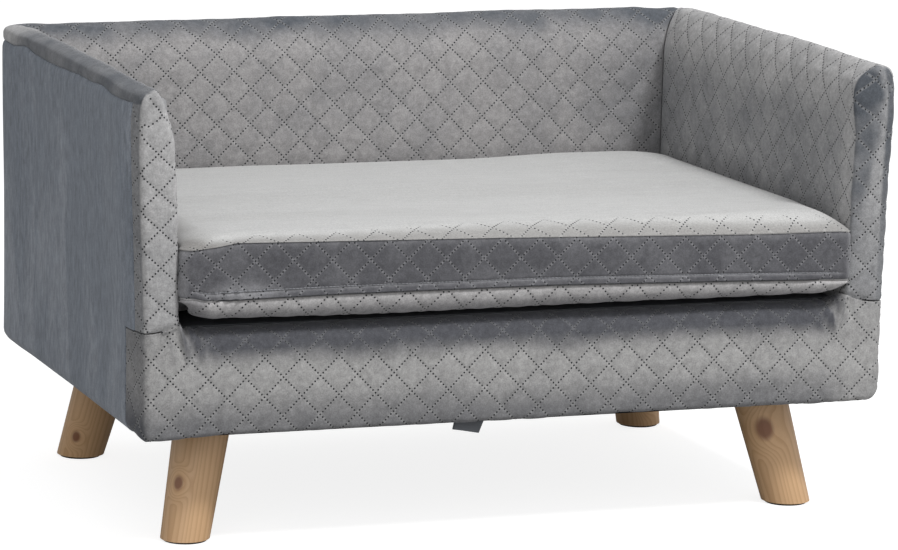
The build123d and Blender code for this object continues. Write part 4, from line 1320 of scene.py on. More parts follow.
    def side_rows(self) -> tuple[Array, Array, Array, Array, Array, Array]:
        """Rows of the cover round its sides, from the top seam down and round to the underside.

        Returns:
            For each row and column: distance out of the plan line, height, place down the quilting,
            dip at a seam, and upward share of the normal. And the cloth of each row.
        """
        s, seam, flap, slot = self.sizes, self.seam, self.flap, self.slot
        rows: list[tuple] = []
        near_flap = np.array([9.5, 8.2, 7.2, 6.7, 6.2, 5.7, 5.2, 4.2, 3.0, 2.0, 1.2, 0.5, 0.0])
        for share in np.unique(np.concatenate([
                spaced(1.0, 0.07, (0.0, 0.012, 0.03, 0.06, 0.1))[:-6], 1 - near_flap / 46.0])):
            z = seam + (flap + 0.8 - seam) * share
            dip = seam_dip(seam - z, 2.4, 1.8) + (1 - slot) * seam_dip(z - flap, 2.2)
            rows.append((self.out_at(z), z, z - seam, dip, 0.0, Cloth.BOXING))
        edge = self.out_at(flap)
        folds = [(edge - back, flap + up) for back, up in ((0.3, 0.15), (0.9, 0.0), (1.5, 0.2), (1.9, 1.0))]
        folds.append((edge - 2.0, 227.3))
        folds += [(self.y - back, up) for back, up in (
            (-229.5, s.slot_high - 0.4), (s.slot_back, s.slot_high), (s.slot_back, 222.5),
            (s.slot_back, s.slot_low), (-229.5, s.slot_low + 0.1), (s.front + 5.5, s.slot_low + 0.6))]
        for out, z in folds:
            rows.append((slot * out + (1 - slot) * (edge - 2.2), slot * z + (1 - slot) * flap,
                         flap - seam - 0.1 * len(rows), 0.0, 0.0, Cloth.TAPE))
        for back, up in ((5.2, -1.4), (4.4, -1.0), (3.6, -0.6), (2.9, -0.9), (2.4, -2.0)):
            sunk = (1 - slot) * (-2.0 * math.exp(up / 1.8 + 0.3))
            rows.append((slot * (edge - back) + (1 - slot) * (edge - 0.2), flap + up, up, sunk, 0.0,
                         Cloth.LOWER))
        turn = flap - 3.2
        under = np.minimum(s.under(self.x, self.front), turn - 1.2)
        rise, radius = turn - under, 15.0
        curl = fade(s.half_width - np.abs(self.x), 13.0) * self.front
        for share in np.linspace(0, 1, 12):
            angle = share * math.pi / 2
            z = under + rise * (1 - math.sin(angle))
            out = np.minimum(edge - 1.4 * slot, self.out_at(np.maximum(z, 206.0)) + 0.6) - radius * (
                1 - math.cos(angle))
            rows.append((out - 5.0 * curl * share, z, -4.0 - share * (rise + 4), 0.0, -math.sin(angle),
                         Cloth.LOWER))
        spread = (np.stack([np.broadcast_to(row[i], self.x.shape) for row in rows]) for i in range(5))
        return *spread, np.array([row[5] for row in rows])

    def side_quilt(self, along: Array, low: Array) -> Array:
        """Places of the side rows on the quilting.

        Args:
            along: their places down the cloth.
            low: which rows are the lower cover's.

        Returns:
            The places, two numbers each.
        """
        middle = np.argmin(np.abs(self.x) + 1000 * (self.y > 0))
        u = (self.travel[middle] - self.travel) * QUILTING.cell / self.sizes.box_cell
        down = along + 15.2 + 4.0 * np.clip((self.x + 280) / 580, 0, 1) * self.front
        box = np.stack([np.broadcast_to(u + 6.0, along.shape), down], -1)
        under = np.stack([np.broadcast_to((u + 3.5) * 0.977, along.shape), along - 170.0], -1)
        return np.where(low[..., None], under, box)

    def build(self) -> tuple[Piece, Array]:
        """Lays the cover over the filling, with its seams, its flap and the zip's slot.

        Returns:
            The cushion, and the line of the flap's topstitching.
        """
        s, x, normal, flap, facing = self.sizes, self.x, self.normal, self.flap, self.facing
        out, z, along, dip, up, part = self.side_rows()
        box, low, tape = ((part == cloth)[:, None] for cloth in (Cloth.BOXING, Cloth.LOWER, Cloth.TAPE))
        sides = np.concatenate([self.path[None] + normal[None] * out[..., None], z[..., None]], -1)
        top, top_quilt, top_normal = self.top_rings(sides[0, :, :2])
        middle = np.array([0.0, (s.front + s.rear) / 2, s.underside - 0.4])
        bottom = middle + (sides[-1] - middle) * np.array([0.9, 0.7, 0.4, 0.02])[:, None, None]
        points = np.concatenate([top, sides, bottom])
        flat = np.sqrt(np.clip(1 - up ** 2, 0, 1))
        normals = np.concatenate([top_normal, np.stack([normal[:, 0] * flat, normal[:, 1] * flat, up], -1),
                                  np.broadcast_to([0, 0, -1.0], bottom.shape)])
        quilt = np.concatenate([top_quilt, self.side_quilt(along, low), bottom[..., :2] + self.low_quilt])

        n_top, body = len(top), slice(len(top), len(top) + len(part))
        from_edge = np.linalg.norm(top[:, :, :2] - top[-1:, :, :2], axis=-1)
        ends = np.minimum(self.travel, self.travel[-1] - self.travel)
        relief = QUILTING.relief(quilt) * smooth(0, 12, ends)
        bulge = np.zeros(points.shape[:2])
        bulge[:n_top] = relief[:n_top] * (1 - smooth(8, 34, from_edge)) * facing * smooth(0, 4, from_edge)
        bulge[:n_top] += 0.35 * soft_noise(top, (70.0, 11.0, 20.0), 51) * smooth(10, 40, from_edge)
        bulge[:n_top] += 0.5 * soft_noise(top, (60.0, 60.0, 20.0), 52) * smooth(5, 30, from_edge)
        near = np.minimum(self.seam - z, np.where(z > flap - 0.1, z - flap, 99))
        bulge[body] = np.where(box, relief[body] * smooth(0, 4, near), 0)
        bulge[body] += np.where(low, relief[body] * smooth(1, 5, flap - z) * 0.8, 0)
        hem = (1 - smooth(296, 306, np.abs(x))) * (facing > 0.9) * box
        stitch = bell(z - flap, s.stitch_above, 1.0) * hem
        band = smooth(0, 0.6, (s.stitch_above + 0.6 - (z - flap)) / s.stitch_above) * hem
        gather = bell(x, -270, 16) * smooth(
            0, 1, (s.stitch_above + 6 - (z - flap)) / 8) * hem * np.sin(x * 0.62)
        bulge[body] += dip - 1.7 * stitch + 1.0 * band + 2.6 * gather + 0.6 * soft_noise(
            sides, (45.0, 45.0, 25.0), 53) * ~tape
        points = self.kept_clear(points + normals * bulge[..., None])

        opened, nap_and_painted_light = np.zeros(points.shape[:2]), np.zeros(points.shape[:2])
        reach = 15 + 12 * smooth(-320, 320, top[..., 0])
        opened[:n_top] = (1 - smooth(reach, reach + 12, from_edge)) * smooth(
            0.75, 1, np.broadcast_to(facing, from_edge.shape))
        opened[body] = ~tape
        cloud = soft_noise(points, (30.0, 30.0, 20.0), 54)
        # A dark patch on the top near the left arm: partly nap, partly painted shadow of the arm. Darker
        # along the rolled edge at the seam: painted shade that tones down the key lamp's highlight there.
        nap_and_painted_light[:n_top] = 0.6 * bell(top[..., 0], -300, 16) * smooth(20, 60, -top[..., 1]) * (
            0.9 + 0.4 * cloud[:n_top]) + 0.75 * (1 - smooth(4, 28, from_edge))
        # A lighter patch low on the band's left end, over its gathers: painted highlight on the fold.
        nap_and_painted_light[body] = box * (bell(x, -258, 30) * smooth(242, 230, z) * 0.8
                               + 0.7 * smooth(305, 312, np.abs(x)) + 0.25 * smooth(-10, 2, z - self.seam))
        # The lower cover darkens as it turns under toward the deck, and at its left front corner: painted
        # shade under the cushion.
        nap_and_painted_light[body] += low * (
            0.12 + 0.6 * smooth(5, 17, flap - z) + 0.7 * smooth(-284, -298, x) * self.front)
        nap_and_painted_light[body] += 0.85 * stitch

        piece = self.sewn(points, quilt, opened, nap_and_painted_light, n_top, part)
        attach(piece, "cushion")
        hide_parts("cushion_foam", "cushion_top_cover", "cushion_boxing", "cushion_lower_cover",
                    "zip_flap")
        log.info("seat_cushion: %d faces", len(piece.data.polygons))
        column = int(np.argmax(facing * (np.abs(x) < 5)))
        row = int(np.argmin(np.where(box[:, 0], np.abs((z - flap)[:, column] - s.stitch_above), 99.0)))
        held = hem[row] > 0.5
        return piece, points[n_top + row][held] + normals[n_top + row][held] * 0.1

    def sewn(self, points: Array, quilt: Array, opened: Array, nap_and_painted_light: Array, n_top: int,
             part: Array) -> Piece:
        """Splits the cover's grid at its three seams, so that each cloth keeps its own quilting.

        Args:
            points: the cover's rows, from the middle of the top to the middle of the underside.
            quilt: their places on the quilting.
            opened: how far the dots stand open.
            nap_and_painted_light: how far the pile lies the dark way, with painted shade and painted
                highlights in the same share.
            n_top: how many rows are the top cover's.
            part: the cloth of each row after those, down to where the underside begins.

        Returns:
            The closed cover.
        """
        count = len(points)
        first_low, last = n_top + int(np.argmax(part == Cloth.LOWER)), n_top + len(part)
        order = np.r_[0:n_top + 1, n_top:first_low + 1, first_low:last, last - 1:count]
        part_of = np.concatenate([np.full(n_top + 1, Cloth.TOP), part[:first_low - n_top + 1],
                                  part[first_low - n_top:], np.full(count - last + 1, Cloth.LOWER)])
        points, quilt, opened = points[order], quilt[order], opened[order]
        nap_and_painted_light = np.clip(nap_and_painted_light[order], 0, 1)
        quilt[n_top] = quilt[n_top - 1] + (points[n_top] - points[n_top - 1])[:, :2]
        quilt[first_low + 1] = quilt[first_low] - np.array([0, 0.2])
        quilt[last + 2] = points[last + 2][:, :2] + self.low_quilt
        opened[n_top], opened[first_low + 1] = opened[n_top - 1], 0.0
        faces = np.broadcast_to(part_of[1:, None].astype(int), (len(points) - 1, points.shape[1] - 1))
        keep = np.ones(faces.shape, bool)
        keep[[n_top, first_low + 1, last + 1]] = False
        cloth = ClothGrid("seat_cushion", points, quilt, keep, faces=faces, opened=opened, nap_and_painted_light=nap_and_painted_light)
        piece = cloth.make([self.finishes.cushion_top, self.finishes.cushion_band, self.finishes.cushion_low,
                            self.finishes.tape], 0.0)
        self.close(piece)
        return piece

    def top_rings(self, edge: Array) -> tuple[Array, Array, Array]:
        """Rings of the top cover from its middle out to the seam.

        Args:
            edge: the seam's line in plan.

        Returns:
            Points, their places on the quilting, and their normals.
        """
        s, inner, seam = self.sizes, self.inner, self.seam
        inset = np.array([
            0.7, 1.5, 2.5, 4.0, 6.0, 8.5, 11.5, 14.5, 17.5, 20.5, 23.5, 26.5, 30.0, 34.0, 40.0])
        rings = [edge + (inner - edge) * d / s.crown_run for d in inset]
        middle = np.array([0.0, (s.front + s.rear) / 2])
        rings += [middle + (inner - middle) * share for share in (
            0.96, 0.9, 0.83, 0.75, 0.66, 0.56, 0.45, 0.33, 0.2, 0.08, 0.004)]
        rings = rings[::-1]
        plan = np.stack(rings)
        depth = np.concatenate([np.full(len(rings) - len(inset), s.crown_run + 1), inset[::-1]])[:, None]
        depth = np.broadcast_to(depth, plan.shape[:2])
        high = np.empty(depth.shape)
        for index in np.ndindex(depth.shape):
            hit = self.form.ray_cast(Vector((*plan[index], 330.0)), Vector((0, 0, -1)), 120)[0]
            high[index] = 262.0 if hit is None else hit.z
        level = np.median(high[:8])
        left = 1 - np.clip(depth / s.crown_run, 0, 1)
        analytic = seam + (s.crown - seam) * (1 - left ** s.crown_power)
        rear = smooth(-60, 190, plan[..., 1]) * (1 - smooth(60, 220, plan[..., 0]))
        z = analytic - 3.4 * rear + 0.6 * np.clip(high - level, -3, 3) * smooth(30, 60, depth)
        points = np.concatenate([plan, z[..., None]], -1)
        slope = left ** 1.8 * (s.crown - seam) * s.crown_power / s.crown_run
        normals = unit(np.concatenate([self.normal[None] * slope[..., None], np.ones_like(z)[..., None]], -1))
        shift = 230.5 + 4.5 * smooth(-120, 200, plan[..., 0]) - 20 * QUILTING.cell
        quilt = np.stack([(plan[..., 0] + 28.1) * QUILTING.cell / s.top_cell, plan[..., 1] + shift], -1)
        return points, quilt, normals

    def kept_clear(self, points: Array) -> Array:
        """Keeps the cushion between the arms, before the back and above the deck."""
        s = self.sizes
        made = points.copy()
        free = smooth(229, 238, -made[..., 1])
        most = s.between_arms + (s.half_width + 3.5 - s.between_arms) * free
        made[..., 0] = np.clip(made[..., 0], -most, most)
        made[..., 1] = np.minimum(made[..., 1], s.before_back)
        made[..., 2] = np.maximum(made[..., 2], s.above_deck)
        return made

    def close(self, piece: Piece) -> None:
        """Welds the two ends of the cover's grid and closes its middle points."""
        work = bmesh.new()
        work.from_mesh(piece.data)
        bmesh.ops.remove_doubles(work, verts=work.verts, dist=2e-5)
        rims = [e for e in work.edges if e.is_boundary]
        bmesh.ops.holes_fill(work, edges=rims, sides=0)
        bmesh.ops.recalc_face_normals(work, faces=work.faces)
        if work.calc_volume(signed=True) < 0:
            bmesh.ops.reverse_faces(work, faces=work.faces)
        work.to_mesh(piece.data)
        work.free()
        piece.data.polygons.foreach_set("use_smooth", [True] * len(piece.data.polygons))


class Punching:
    """Rows of punched dots on cloth, placed by its quilting map with Geometry Nodes.

    A dot is a disc that lies just over the cloth, smaller where the quilting is drawn tight; its dark colour
    is painted shade standing for the pit of the punched hole.
    """

    def __init__(self, material: Material) -> None:
        """Builds the tree for one finish of the dots."""
        self.tree = self.make_tree(material)

    def make_tree(self, material: Material) -> Tree:
        """Builds the node tree that puts a dark disc at each dot of both rows.

        Args:
            material: the dots' finish.

        Returns:
            The tree.
        """
        tree, given = new_tree("punched_rows", {
            "Cloth": "Geometry", "Cell": "Float", "Dot Radius": "Float", "Lift": "Float",
            "First Sum": "Float", "First Difference": "Float", "Rows": "Int", "Dots a Row": "Int",
            "Dots a Side": "Int"})
        known = {socket.name: socket for socket in given}
        known["index"] = add(tree, "GeometryNodeInputIndex")
        for name, operation, first, second in (
                ("a family", "MULTIPLY", "Rows", "Dots a Row"), ("index middle", "ADD", "index", 0.5),
                ("families", "DIVIDE", "index middle", "a family"), ("family", "FLOOR", "families", 0.0),
                ("dots before", "MULTIPLY", "family", "a family"),
                ("rest", "SUBTRACT", "index", "dots before"), ("rest middle", "ADD", "rest", 0.5),
                ("rows", "DIVIDE", "rest middle", "Dots a Row"),
                ("row", "FLOOR", "rows", 0.0), ("row start", "MULTIPLY", "row", "Dots a Row"),
                ("number", "SUBTRACT", "rest", "row start"), ("across", "MULTIPLY", "row", "Cell"),
                ("pitch", "DIVIDE", "Cell", "Dots a Side"), ("along", "MULTIPLY", "number", "pitch"),
                ("from crossing", "FLOORED_MODULO", "number", "Dots a Side"),
                ("crossing", "LESS_THAN", "from crossing", 0.5),
                ("doubled", "MULTIPLY", "family", "crossing"),
                ("count", "MULTIPLY", "a family", 2.0), ("sum", "SWITCH", "across", "along"),
                ("difference", "SWITCH", "along", "across"), ("total", "ADD", "sum", "First Sum"),
                ("spread", "ADD", "difference", "First Difference"), ("twice u", "ADD", "total", "spread"),
                ("u", "MULTIPLY", "twice u", 0.5), ("twice v", "SUBTRACT", "total", "spread"),
                ("v", "MULTIPLY", "twice v", 0.5)):
            first, second = known.get(first, first), known.get(second, second)
            if operation == "SWITCH":
                known[name] = add(tree, "GeometryNodeSwitch", {
                    "Switch": known["family"], "False": first, "True": second}, input_type="FLOAT")
            else:
                known[name] = add(tree, f"Math {operation}", [first, second])
        place = add(tree, "CombineXYZ", [known["u"], known["v"]])
        points = add(tree, "GeometryNodePoints", {"Count": known["count"], "Position": place})
        uv = add(tree, "GeometryNodeInputNamedAttribute", {"Name": QUILT_MAP}, data_type="FLOAT_VECTOR")
        here = add(tree, "GeometryNodeInputPosition")
        wide = add(tree, "GeometryNodeInputNamedAttribute", {"Name": OPEN}, data_type="FLOAT")

        normal = add(tree, "GeometryNodeInputNormal")
        spot, facing, width = (
            add(tree, "GeometryNodeSampleUVSurface", {
                "Mesh": given["Cloth"], "Value": value, "UV Map": uv, "Sample UV": here}, data_type=kind)
            for value, kind in ((here, "FLOAT_VECTOR"), (normal, "FLOAT_VECTOR"), (wide, "FLOAT")))
        kept = add(tree, "GeometryNodeCaptureAttribute", {"Geometry": points})
        for kind, name, value in (
                ("VECTOR", "Spot", spot), ("VECTOR", "Facing", facing), ("FLOAT", "Width", width),
                ("BOOLEAN", "Found", spot.outputs["Is Valid"]), ("BOOLEAN", "Doubled", known["doubled"])):
            kept.capture_items.new(kind, name)
            feed(tree, kept, {name: value})
        gone = add(tree, "FunctionNodeBooleanMath NOT", [kept.outputs["Found"]])
        shut = add(tree, "Math LESS_THAN", [kept.outputs["Width"], 0.18])
        for reason in (shut, kept.outputs["Doubled"]):
            gone = add(tree, "FunctionNodeBooleanMath OR", [gone, reason])
        left = add(tree, "GeometryNodeDeleteGeometry", {"Geometry": kept, "Selection": gone})
        lift = add(tree, "VectorMath SCALE", {
            0: kept.outputs["Facing"], "Scale": given["Lift"]})
        moved = add(tree, "GeometryNodeSetPosition", {
            "Geometry": left, "Position": kept.outputs["Spot"], "Offset": lift})
        disc = add(tree, "GeometryNodeMeshCircle", {
            "Vertices": 7, "Radius": given["Dot Radius"]}, fill_type="NGON")
        turned = add(tree, "FunctionNodeAlignRotationToVector", {"Vector": kept.outputs["Facing"]}, axis="Z")
        grown = add(tree, "MapRange", {"Value": kept.outputs["Width"], "To Min": 0.45, "To Max": 1.0})
        size = add(tree, "CombineXYZ", [grown, grown, 1.0])
        placed = add(tree, "GeometryNodeInstanceOnPoints", {
            "Points": moved, "Instance": disc, "Rotation": turned, "Scale": size})
        real = add(tree, "GeometryNodeRealizeInstances", [placed])
        done = add(tree, "GeometryNodeSetMaterial", {"Geometry": real, "Material": material})
        add(tree, "NodeGroupOutput", [done])
        return tree

    def punch(self, cloth: Piece, body: str) -> Piece:
        """Punches one piece of cloth.

        Args:
            cloth: the piece, with its quilting map.
            body: the body that it rides on.

        Returns:
            Its dots, as one mesh.
        """
        places = np.empty(len(cloth.data.loops) * 2, np.float32)
        cloth.data.uv_layers[QUILT_MAP].data.foreach_get("uv", places)
        places = places.reshape(-1, 2)
        total, difference = places.sum(1), places[:, 0] - places[:, 1]
        cell = QUILTING.cell * MM
        first = [math.floor(v.min() / cell) * cell for v in (total, difference)]
        reach = max(total.max() - first[0], difference.max() - first[1])
        rows = math.ceil(reach / cell) + 1
        holder = linked(f"{cloth.name}_dots", cloth.data.copy())
        punched = holder.modifiers.new("punched", "NODES")
        punched.node_group = self.tree
        values = {"Cell": cell, "Dot Radius": QUILTING.dot / 2 * MM, "Lift": QUILTING.lift * MM,
                  "First Sum": first[0],
                  "First Difference": first[1], "Rows": rows, "Dots a Row": rows * QUILTING.dots_a_side,
                  "Dots a Side": QUILTING.dots_a_side}
        return settle_nodes(holder, punched, values, body)


def settle_nodes(holder: Piece, modifier: bpy.types.Modifier, values: dict[str, float | int],
                 body: str) -> Piece:
    """Turns what a node tree makes into a plain mesh on its body.

    Args:
        holder: object with the modifier; its mesh is given up.
        modifier: the Geometry Nodes modifier.
        values: a value for each of the tree's named inputs.
        body: the body that the result rides on.

    Returns:
        The finished object.
    """
    for item in modifier.node_group.interface.items_tree:
        if item.item_type == "SOCKET" and item.in_out == "INPUT" and item.name in values:
            modifier[item.identifier] = values[item.name]
    mesh = evaluated(holder)
    name = holder.name
    bpy.data.objects.remove(holder)
    for attribute in [a for a in mesh.attributes if a.name in (OPEN, NAP_AND_LIGHT, "aim", "up")]:
        mesh.attributes.remove(attribute)
    piece = linked(name, mesh)
    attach(piece, body)
    log.info("%s: %d faces", name, len(mesh.polygons))
    return piece


class Threads:
    """Short arched threads and wires in rows, placed with Geometry Nodes: stitches and staples."""

    def __init__(self) -> None:
        """Builds the node tree that puts one arch at each point of a mesh."""
        tree, given = new_tree("arched_threads", {
            "Places": "Geometry", "Length": "Float", "Rise": "Float", "Thickness": "Float",
            "Finish": "Material"})
        self.tree = tree
        ends = []
        for sign in (-0.5, 0.5):
            half = add(tree, "Math MULTIPLY", [given["Length"], sign])
            ends.append(add(tree, "CombineXYZ", [half]))
        high = add(tree, "Math MULTIPLY", [given["Rise"], 2.0])
        middle = add(tree, "CombineXYZ", {2: high})
        arch = add(tree, "GeometryNodeCurveQuadraticBezier", {
            "Resolution": 5, "Start": ends[0], "Middle": middle, "End": ends[1]})
        radius = add(tree, "Math MULTIPLY", [given["Thickness"], 0.5])
        ring = add(tree, "GeometryNodeCurvePrimitiveCircle", {"Resolution": 6, "Radius": radius})
        thread = add(tree, "GeometryNodeCurveToMesh", {
            "Curve": arch, "Profile Curve": ring, "Fill Caps": True})
        aim, up = (add(tree, "GeometryNodeInputNamedAttribute", {"Name": name}, data_type="FLOAT_VECTOR")
                   for name in ("aim", "up"))
        turned = add(tree, "FunctionNodeAlignRotationToVector", {"Vector": aim}, axis="X")
        turned = add(tree, "FunctionNodeAlignRotationToVector", {
            "Rotation": turned, "Vector": up}, axis="Z", pivot_axis="X")
        placed = add(tree, "GeometryNodeInstanceOnPoints", {
            "Points": given["Places"], "Instance": thread, "Rotation": turned})
        real = add(tree, "GeometryNodeRealizeInstances", [placed])
        done = add(tree, "GeometryNodeSetMaterial", {"Geometry": real, "Material": given["Finish"]})
        add(tree, "NodeGroupOutput", [done])

    def lay(self, name: str, places: Array, aims: Array, ups: Array, size: tuple[float, float, float],
            material: Material, body: str, slot: str) -> Piece:
        """Lays one arch at each place.

        Args:
            name: name of the piece.
            places: middles of the arches' feet.
            aims: the direction in which each one runs.
            ups: the direction in which each one rises.
            size: length, rise and thickness.
            material: their finish.
            body: the body that they ride on.
            slot: not used.

        Returns:
            All of them, as one mesh.
        """
        mesh = bpy.data.meshes.new(name)
        mesh.from_pydata((places * MM).tolist(), [], [])
        for key, value in (("aim", aims), ("up", ups)):
            mesh.attributes.new(key, "FLOAT_VECTOR", "POINT").data.foreach_set(
                "vector", np.broadcast_to(value, places.shape).astype(np.float32).ravel())
        holder = linked(name, mesh)
        rows = holder.modifiers.new("rows", "NODES")
        rows.node_group = self.tree
        values = {"Length": size[0] * MM, "Rise": size[1] * MM, "Thickness": size[2] * MM, "Finish": material}
        return settle_nodes(holder, rows, values, body)


class Linings:
    """Cloth under the cushion and below the base, the care tag, and the rows of stitches and staples."""

    def __init__(self, finishes: Finishes) -> None:
        """Takes the finishes and readies the threads."""
        self.finishes = finishes
        self.threads = Threads()

    def flat_cloth(self, node: str, height: float, step: float, thickness: float, material: Material,
                   facing: float, wave: float) -> tuple[Piece, tuple[float, float]]:
        """A flat rectangle of cloth over the same area as one of the frame's nodes.

        Args:
            node: the node.
            height: height of its face.
            step: about how far apart its points are.
            thickness: thickness behind its face.
            material: its finish.
            facing: 1 for a face that looks up, -1 for one that looks down.
            wave: how far its face waves away from its height.

        Returns:
            The cloth, and its width and length in metres.
        """
        low, high = (np.array(Vector(corner) / MM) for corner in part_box(node))
        x, y = (low[i] + spaced(high[i] - low[i], step) for i in (0, 1))
        plan = np.stack(np.meshgrid(x, y), -1)
        edge = np.minimum(plan - low[:2], high[:2] - plan).min(-1)
        points = np.concatenate([plan, np.full(plan.shape[:2], height)[..., None]], -1)
        points[..., 2] += wave * (0.5 + 0.5 * soft_noise(points, 70.0, 71)) * smooth(0, 30, edge)
        piece = ClothGrid(f"{node}_soft", points, plan).make(material, thickness, Vector((0, 0, facing)))
        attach(piece, "sofa")
        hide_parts(node)
        log.info("%s: %d faces", piece.name, len(piece.data.polygons))
        return piece, tuple(float(side) * MM for side in (high - low)[:2])

    def deck(self) -> None:
        """The thin pad on the deck board and the cloth stretched over it."""
        pad, _ = self.flat_cloth("deck_pad", 194.9, 10.0, 2.7, self.finishes.deck, 1.0, 0.0)
        cloth, size = self.flat_cloth("deck_cloth", 195.9, 6.0, 0.8, self.finishes.deck, 1.0, -0.15)

    def dust_cover(self) -> None:
        """The black cloth below the base, with staples 45 mm apart round its edge."""
        cloth, size = self.flat_cloth("dust_cover", 103.1, 8.0, 0.5, self.finishes.dust, -1.0, 0.15)
        wide, deep = (side / MM / 2 - 7.0 for side in size)
        low, staples = 103.0, []
        for sign in (-1, 1):
            staples += [((x, sign * deep, low), (1.0, 0.0, 0.0))
                        for x in np.linspace(12 - wide, wide - 12, 15)]
            staples += [((sign * wide, y, low), (0.0, 1.0, 0.0))
                        for y in np.linspace(12 - deep, deep - 12, 10)]
        places, aims = (np.array(column) for column in zip(*staples))
        self.threads.lay("dust_cover_staples", places, aims, np.array((0.0, 0.0, -1.0)), (10.0, 0.25, 0.7),
                         self.finishes.zinc, "sofa", "zinc_steel")

    def care_tag(self) -> None:
        """The blank care tag: a strip folded double that hangs slanting below the rail."""
        down = np.concatenate([np.linspace(0, 1, 7), [1.02], np.linspace(1, 0, 7)])
        back = np.concatenate([np.zeros(7), [0.35], np.full(7, 0.7)])
        across = np.linspace(0, 1, 9)
        left, right = (top + (fold - top) * down[:, None] for top, fold in zip(TAG_TOP, TAG_FOLD))
        places = left[:, None] + (right - left)[:, None] * across[None, :, None]
        y = -217.8 + back[:, None] + 0.5 * np.sin(across * 5.0)[None, :] * down[:, None] - 1.5 * down[:, None]
        points = np.stack([places[..., 0], y, places[..., 1]], -1)
        piece = ClothGrid("care_tag_soft", points, points[..., :2]).make(self.finishes.tag, 0.25)
        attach(piece, "sofa")
        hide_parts("care_tag")

    def flap_stitches(self, line: Array) -> None:
        """The row of stitches along the folded edge of the cushion's flap."""
        travel = travelled(line)
        at = np.arange(2.0, travel[-1] - 2.0, 3.3)
        places = np.stack([np.interp(at, travel, line[:, i]) for i in range(3)], -1)
        aims = np.gradient(places, axis=0)
        self.threads.lay("flap_stitches", places, aims, np.array((0.0, -1.0, 0.1)), (2.6, 0.45, 0.95),
                         self.finishes.thread, "cushion", "quilted_velvet")


class Studio:
    """Floor, lights and the camera at the photograph's view."""

    azimuth = -20.22
    elevation = 9.92
    roll = 1.23
    distance = 3.81013
    target = Vector((0.01782, 0.0, 0.19152))
    sensor = 36.0
    focal_pixels = 4104.0
    picture_width = 898.0
    lens = sensor * focal_pixels / picture_width

    def camera(self) -> None:
        """Makes the camera."""
        a, e, r = (math.radians(v) for v in (self.azimuth, self.elevation, self.roll))
        back = Vector((math.sin(a) * math.cos(e), -math.cos(a) * math.cos(e), math.sin(e)))
        right = Vector((math.cos(a), math.sin(a), 0.0))
        up = back.cross(right)
        right, up = right * math.cos(r) + up * math.sin(r), up * math.cos(r) - right * math.sin(r)
        data = bpy.data.cameras.new("camera")
        data.lens, data.sensor_width = self.lens, self.sensor
        camera = linked("camera", data)
        place = self.target + back * self.distance
        camera.matrix_world = Matrix((
            (right.x, up.x, back.x, place.x), (right.y, up.y, back.y, place.y),
            (right.z, up.z, back.z, place.z), (0, 0, 0, 1)))
        bpy.context.scene.camera = camera

    def lights(self) -> None:
        """Makes a pale room and two broad lamps."""
        world = bpy.data.worlds.new("room")
        world.use_nodes = True
        bpy.context.scene.world = world
        tree = world.node_tree
        tree.nodes.clear()
        path = add(tree, "LightPath").outputs
        seen = add(tree, "Math MAXIMUM", {
            0: path["Is Camera Ray"], 1: path["Is Glossy Ray"]})
        seen = add(tree, "Math MAXIMUM", [seen, path["Is Transmission Ray"]])
        way = add(tree, "TexCoord").outputs["Generated"]
        facing = add(tree, "VectorMath DOT_PRODUCT", [way, (0.5, -0.6, 0.62)]).outputs["Value"]
        dim = add(tree, "MapRange", [facing, -0.9, 0.9, 0.16, 0.76])
        strength = add(tree, "Mix", {0: seen, 2: dim, 3: 1.0})
        colour = add(tree, "Background", {"Color": (1, 1, 1, 1), "Strength": strength})
        add(tree, "OutputWorld", {"Surface": colour})
        for name, place, size, power in (
                ("key", (0.9, -1.5, 2.2), 0.45, 34.0), ("fill", (-1.5, -2.2, 1.2), 1.6, 7.0)):
            data = bpy.data.lights.new(name, "AREA")
            data.shape, data.size, data.energy = "DISK", size, power
            lamp = linked(name, data)
            lamp.location = place
            lamp.rotation_euler = (Vector((0, 0, 0.22)) - Vector(place)).to_track_quat("-Z", "Y").to_euler()

    def floor(self) -> None:
        """Makes a white floor that keeps the shadow."""
        mesh = bpy.data.meshes.new("floor")
        mesh.from_pydata([(-40, -40, 0), (40, -40, 0), (40, 40, 0), (-40, 40, 0)], [], [(0, 1, 2, 3)])
        floor = linked("floor", mesh)
        material, tree = new_material("floor_white")
        path = add(tree, "LightPath").outputs
        seen = add(tree, "Math MULTIPLY", [path["Is Camera Ray"], 0.84])
        shader = add(tree, "BsdfPrincipled", {
            "Base Color": (0.45, 0.45, 0.45, 1), "Roughness": 0.95, "Specular IOR Level": 0.0,
            "Emission Color": (1, 1, 1, 1), "Emission Strength": seen})
        add(tree, "OutputMaterial", {"Surface": shader})
        mesh.materials.append(material)

    def build(self) -> None:
        """Makes the whole studio."""
        bpy.context.scene.view_settings.view_transform = "Standard"
        self.camera()
        self.lights()
        self.floor()


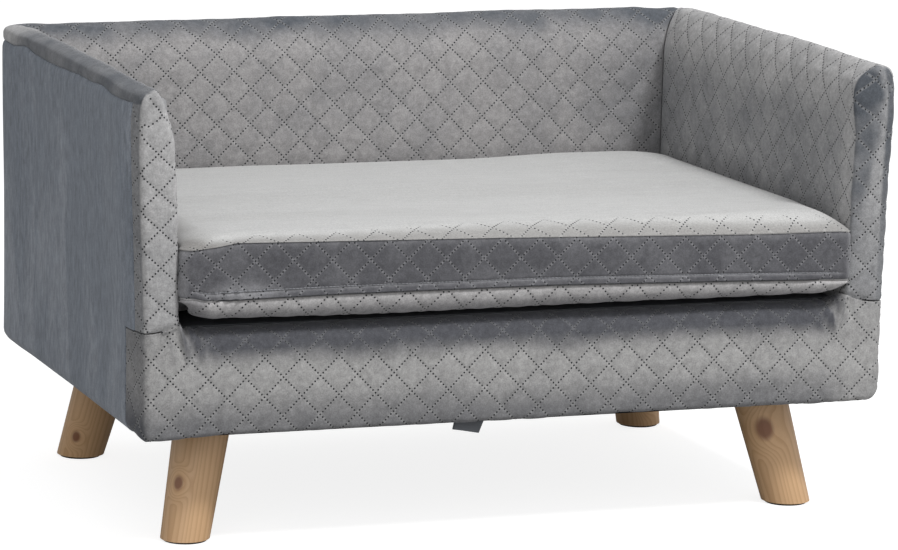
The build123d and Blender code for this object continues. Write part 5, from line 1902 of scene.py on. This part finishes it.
def dress_nodes(finishes: Finishes) -> None:
    """Gives every node that stays as the frame made it a finish of its own."""
    plain = {
        finishes.board: ("left_arm_board", "right_arm_board", "back_board", "front_rail_board", "deck_board"),
        finishes.timber: ("left_deck_cleat", "right_deck_cleat", "front_left_leg_block",
                          "front_right_leg_block", "rear_left_leg_block", "rear_right_leg_block"),
        finishes.zinc: ("hanger_bolts", "tee_nuts", "frame_screws"),
        finishes.rubber: ("leg_glides",),
        finishes.nickel: ("zip_slider", "zip_pull", "zip_stops"),
        finishes.tape: ("zip_upper_tape", "zip_lower_tape"),
        finishes.coil: ("zip_upper_coil", "zip_lower_coil"),
    }
    for material, names in plain.items():
        for name in names:
            paint(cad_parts[name], material)
    knots = {"front_left": ((3.82, 45.0, 10.0), (1.0, 84.0, 9.0)),
             "front_right": ((4.2, 70.0, 17.0), (1.0, 30.0, 9.0)),
             "rear_left": ((4.0, 22.0, 9.0), (1.8, 70.0, 12.0)),
             "rear_right": ((4.9, 30.0, 11.0), (2.4, 75.0, 9.0))}
    for corner, marks in knots.items():
        _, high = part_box(f"{corner}_leg")
        side, end = (1 if reach > 0 else -1 for reach in high.xy)
        foot, top = (Vector((side * x, end * y, z)) for x, y, z in (LEG_FOOT, LEG_TOP))
        paint(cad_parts[f"{corner}_leg"], TurnedPine(f"pine_{corner}", foot, top, marks).make())


def paint(node: Piece, material: Material) -> None:
    """Puts one material in all of a node's slots."""
    if not node.material_slots:
        node.data.materials.append(material)
    for slot in node.material_slots:
        slot.material = material


def main() -> None:
    """Builds the studio, the upholstery, the cushion and the small pieces, in that order."""
    logging.basicConfig(level=logging.INFO, format="%(message)s")
    Studio().build()
    finishes = Finishes()
    dress_nodes(finishes)
    covers = Upholstery(finishes)
    for side in Side:
        covers.arm(side)
    covers.back()
    covers.rail()
    covers.outer_covers()
    cushion, stitch_line = SeatCushion(finishes).build()
    linings = Linings(finishes)
    linings.deck()
    linings.dust_cover()
    linings.care_tag()
    linings.flap_stitches(stitch_line)
    punching = Punching(finishes.punch)
    for name in ("left_arm_cover_soft", "right_arm_cover_soft", "back_cover_soft", "rail_cover_soft"):
        punching.punch(covers.pieces[name], "sofa")
    punching.punch(cushion, "cushion")


if __name__ == "__main__":
    main()
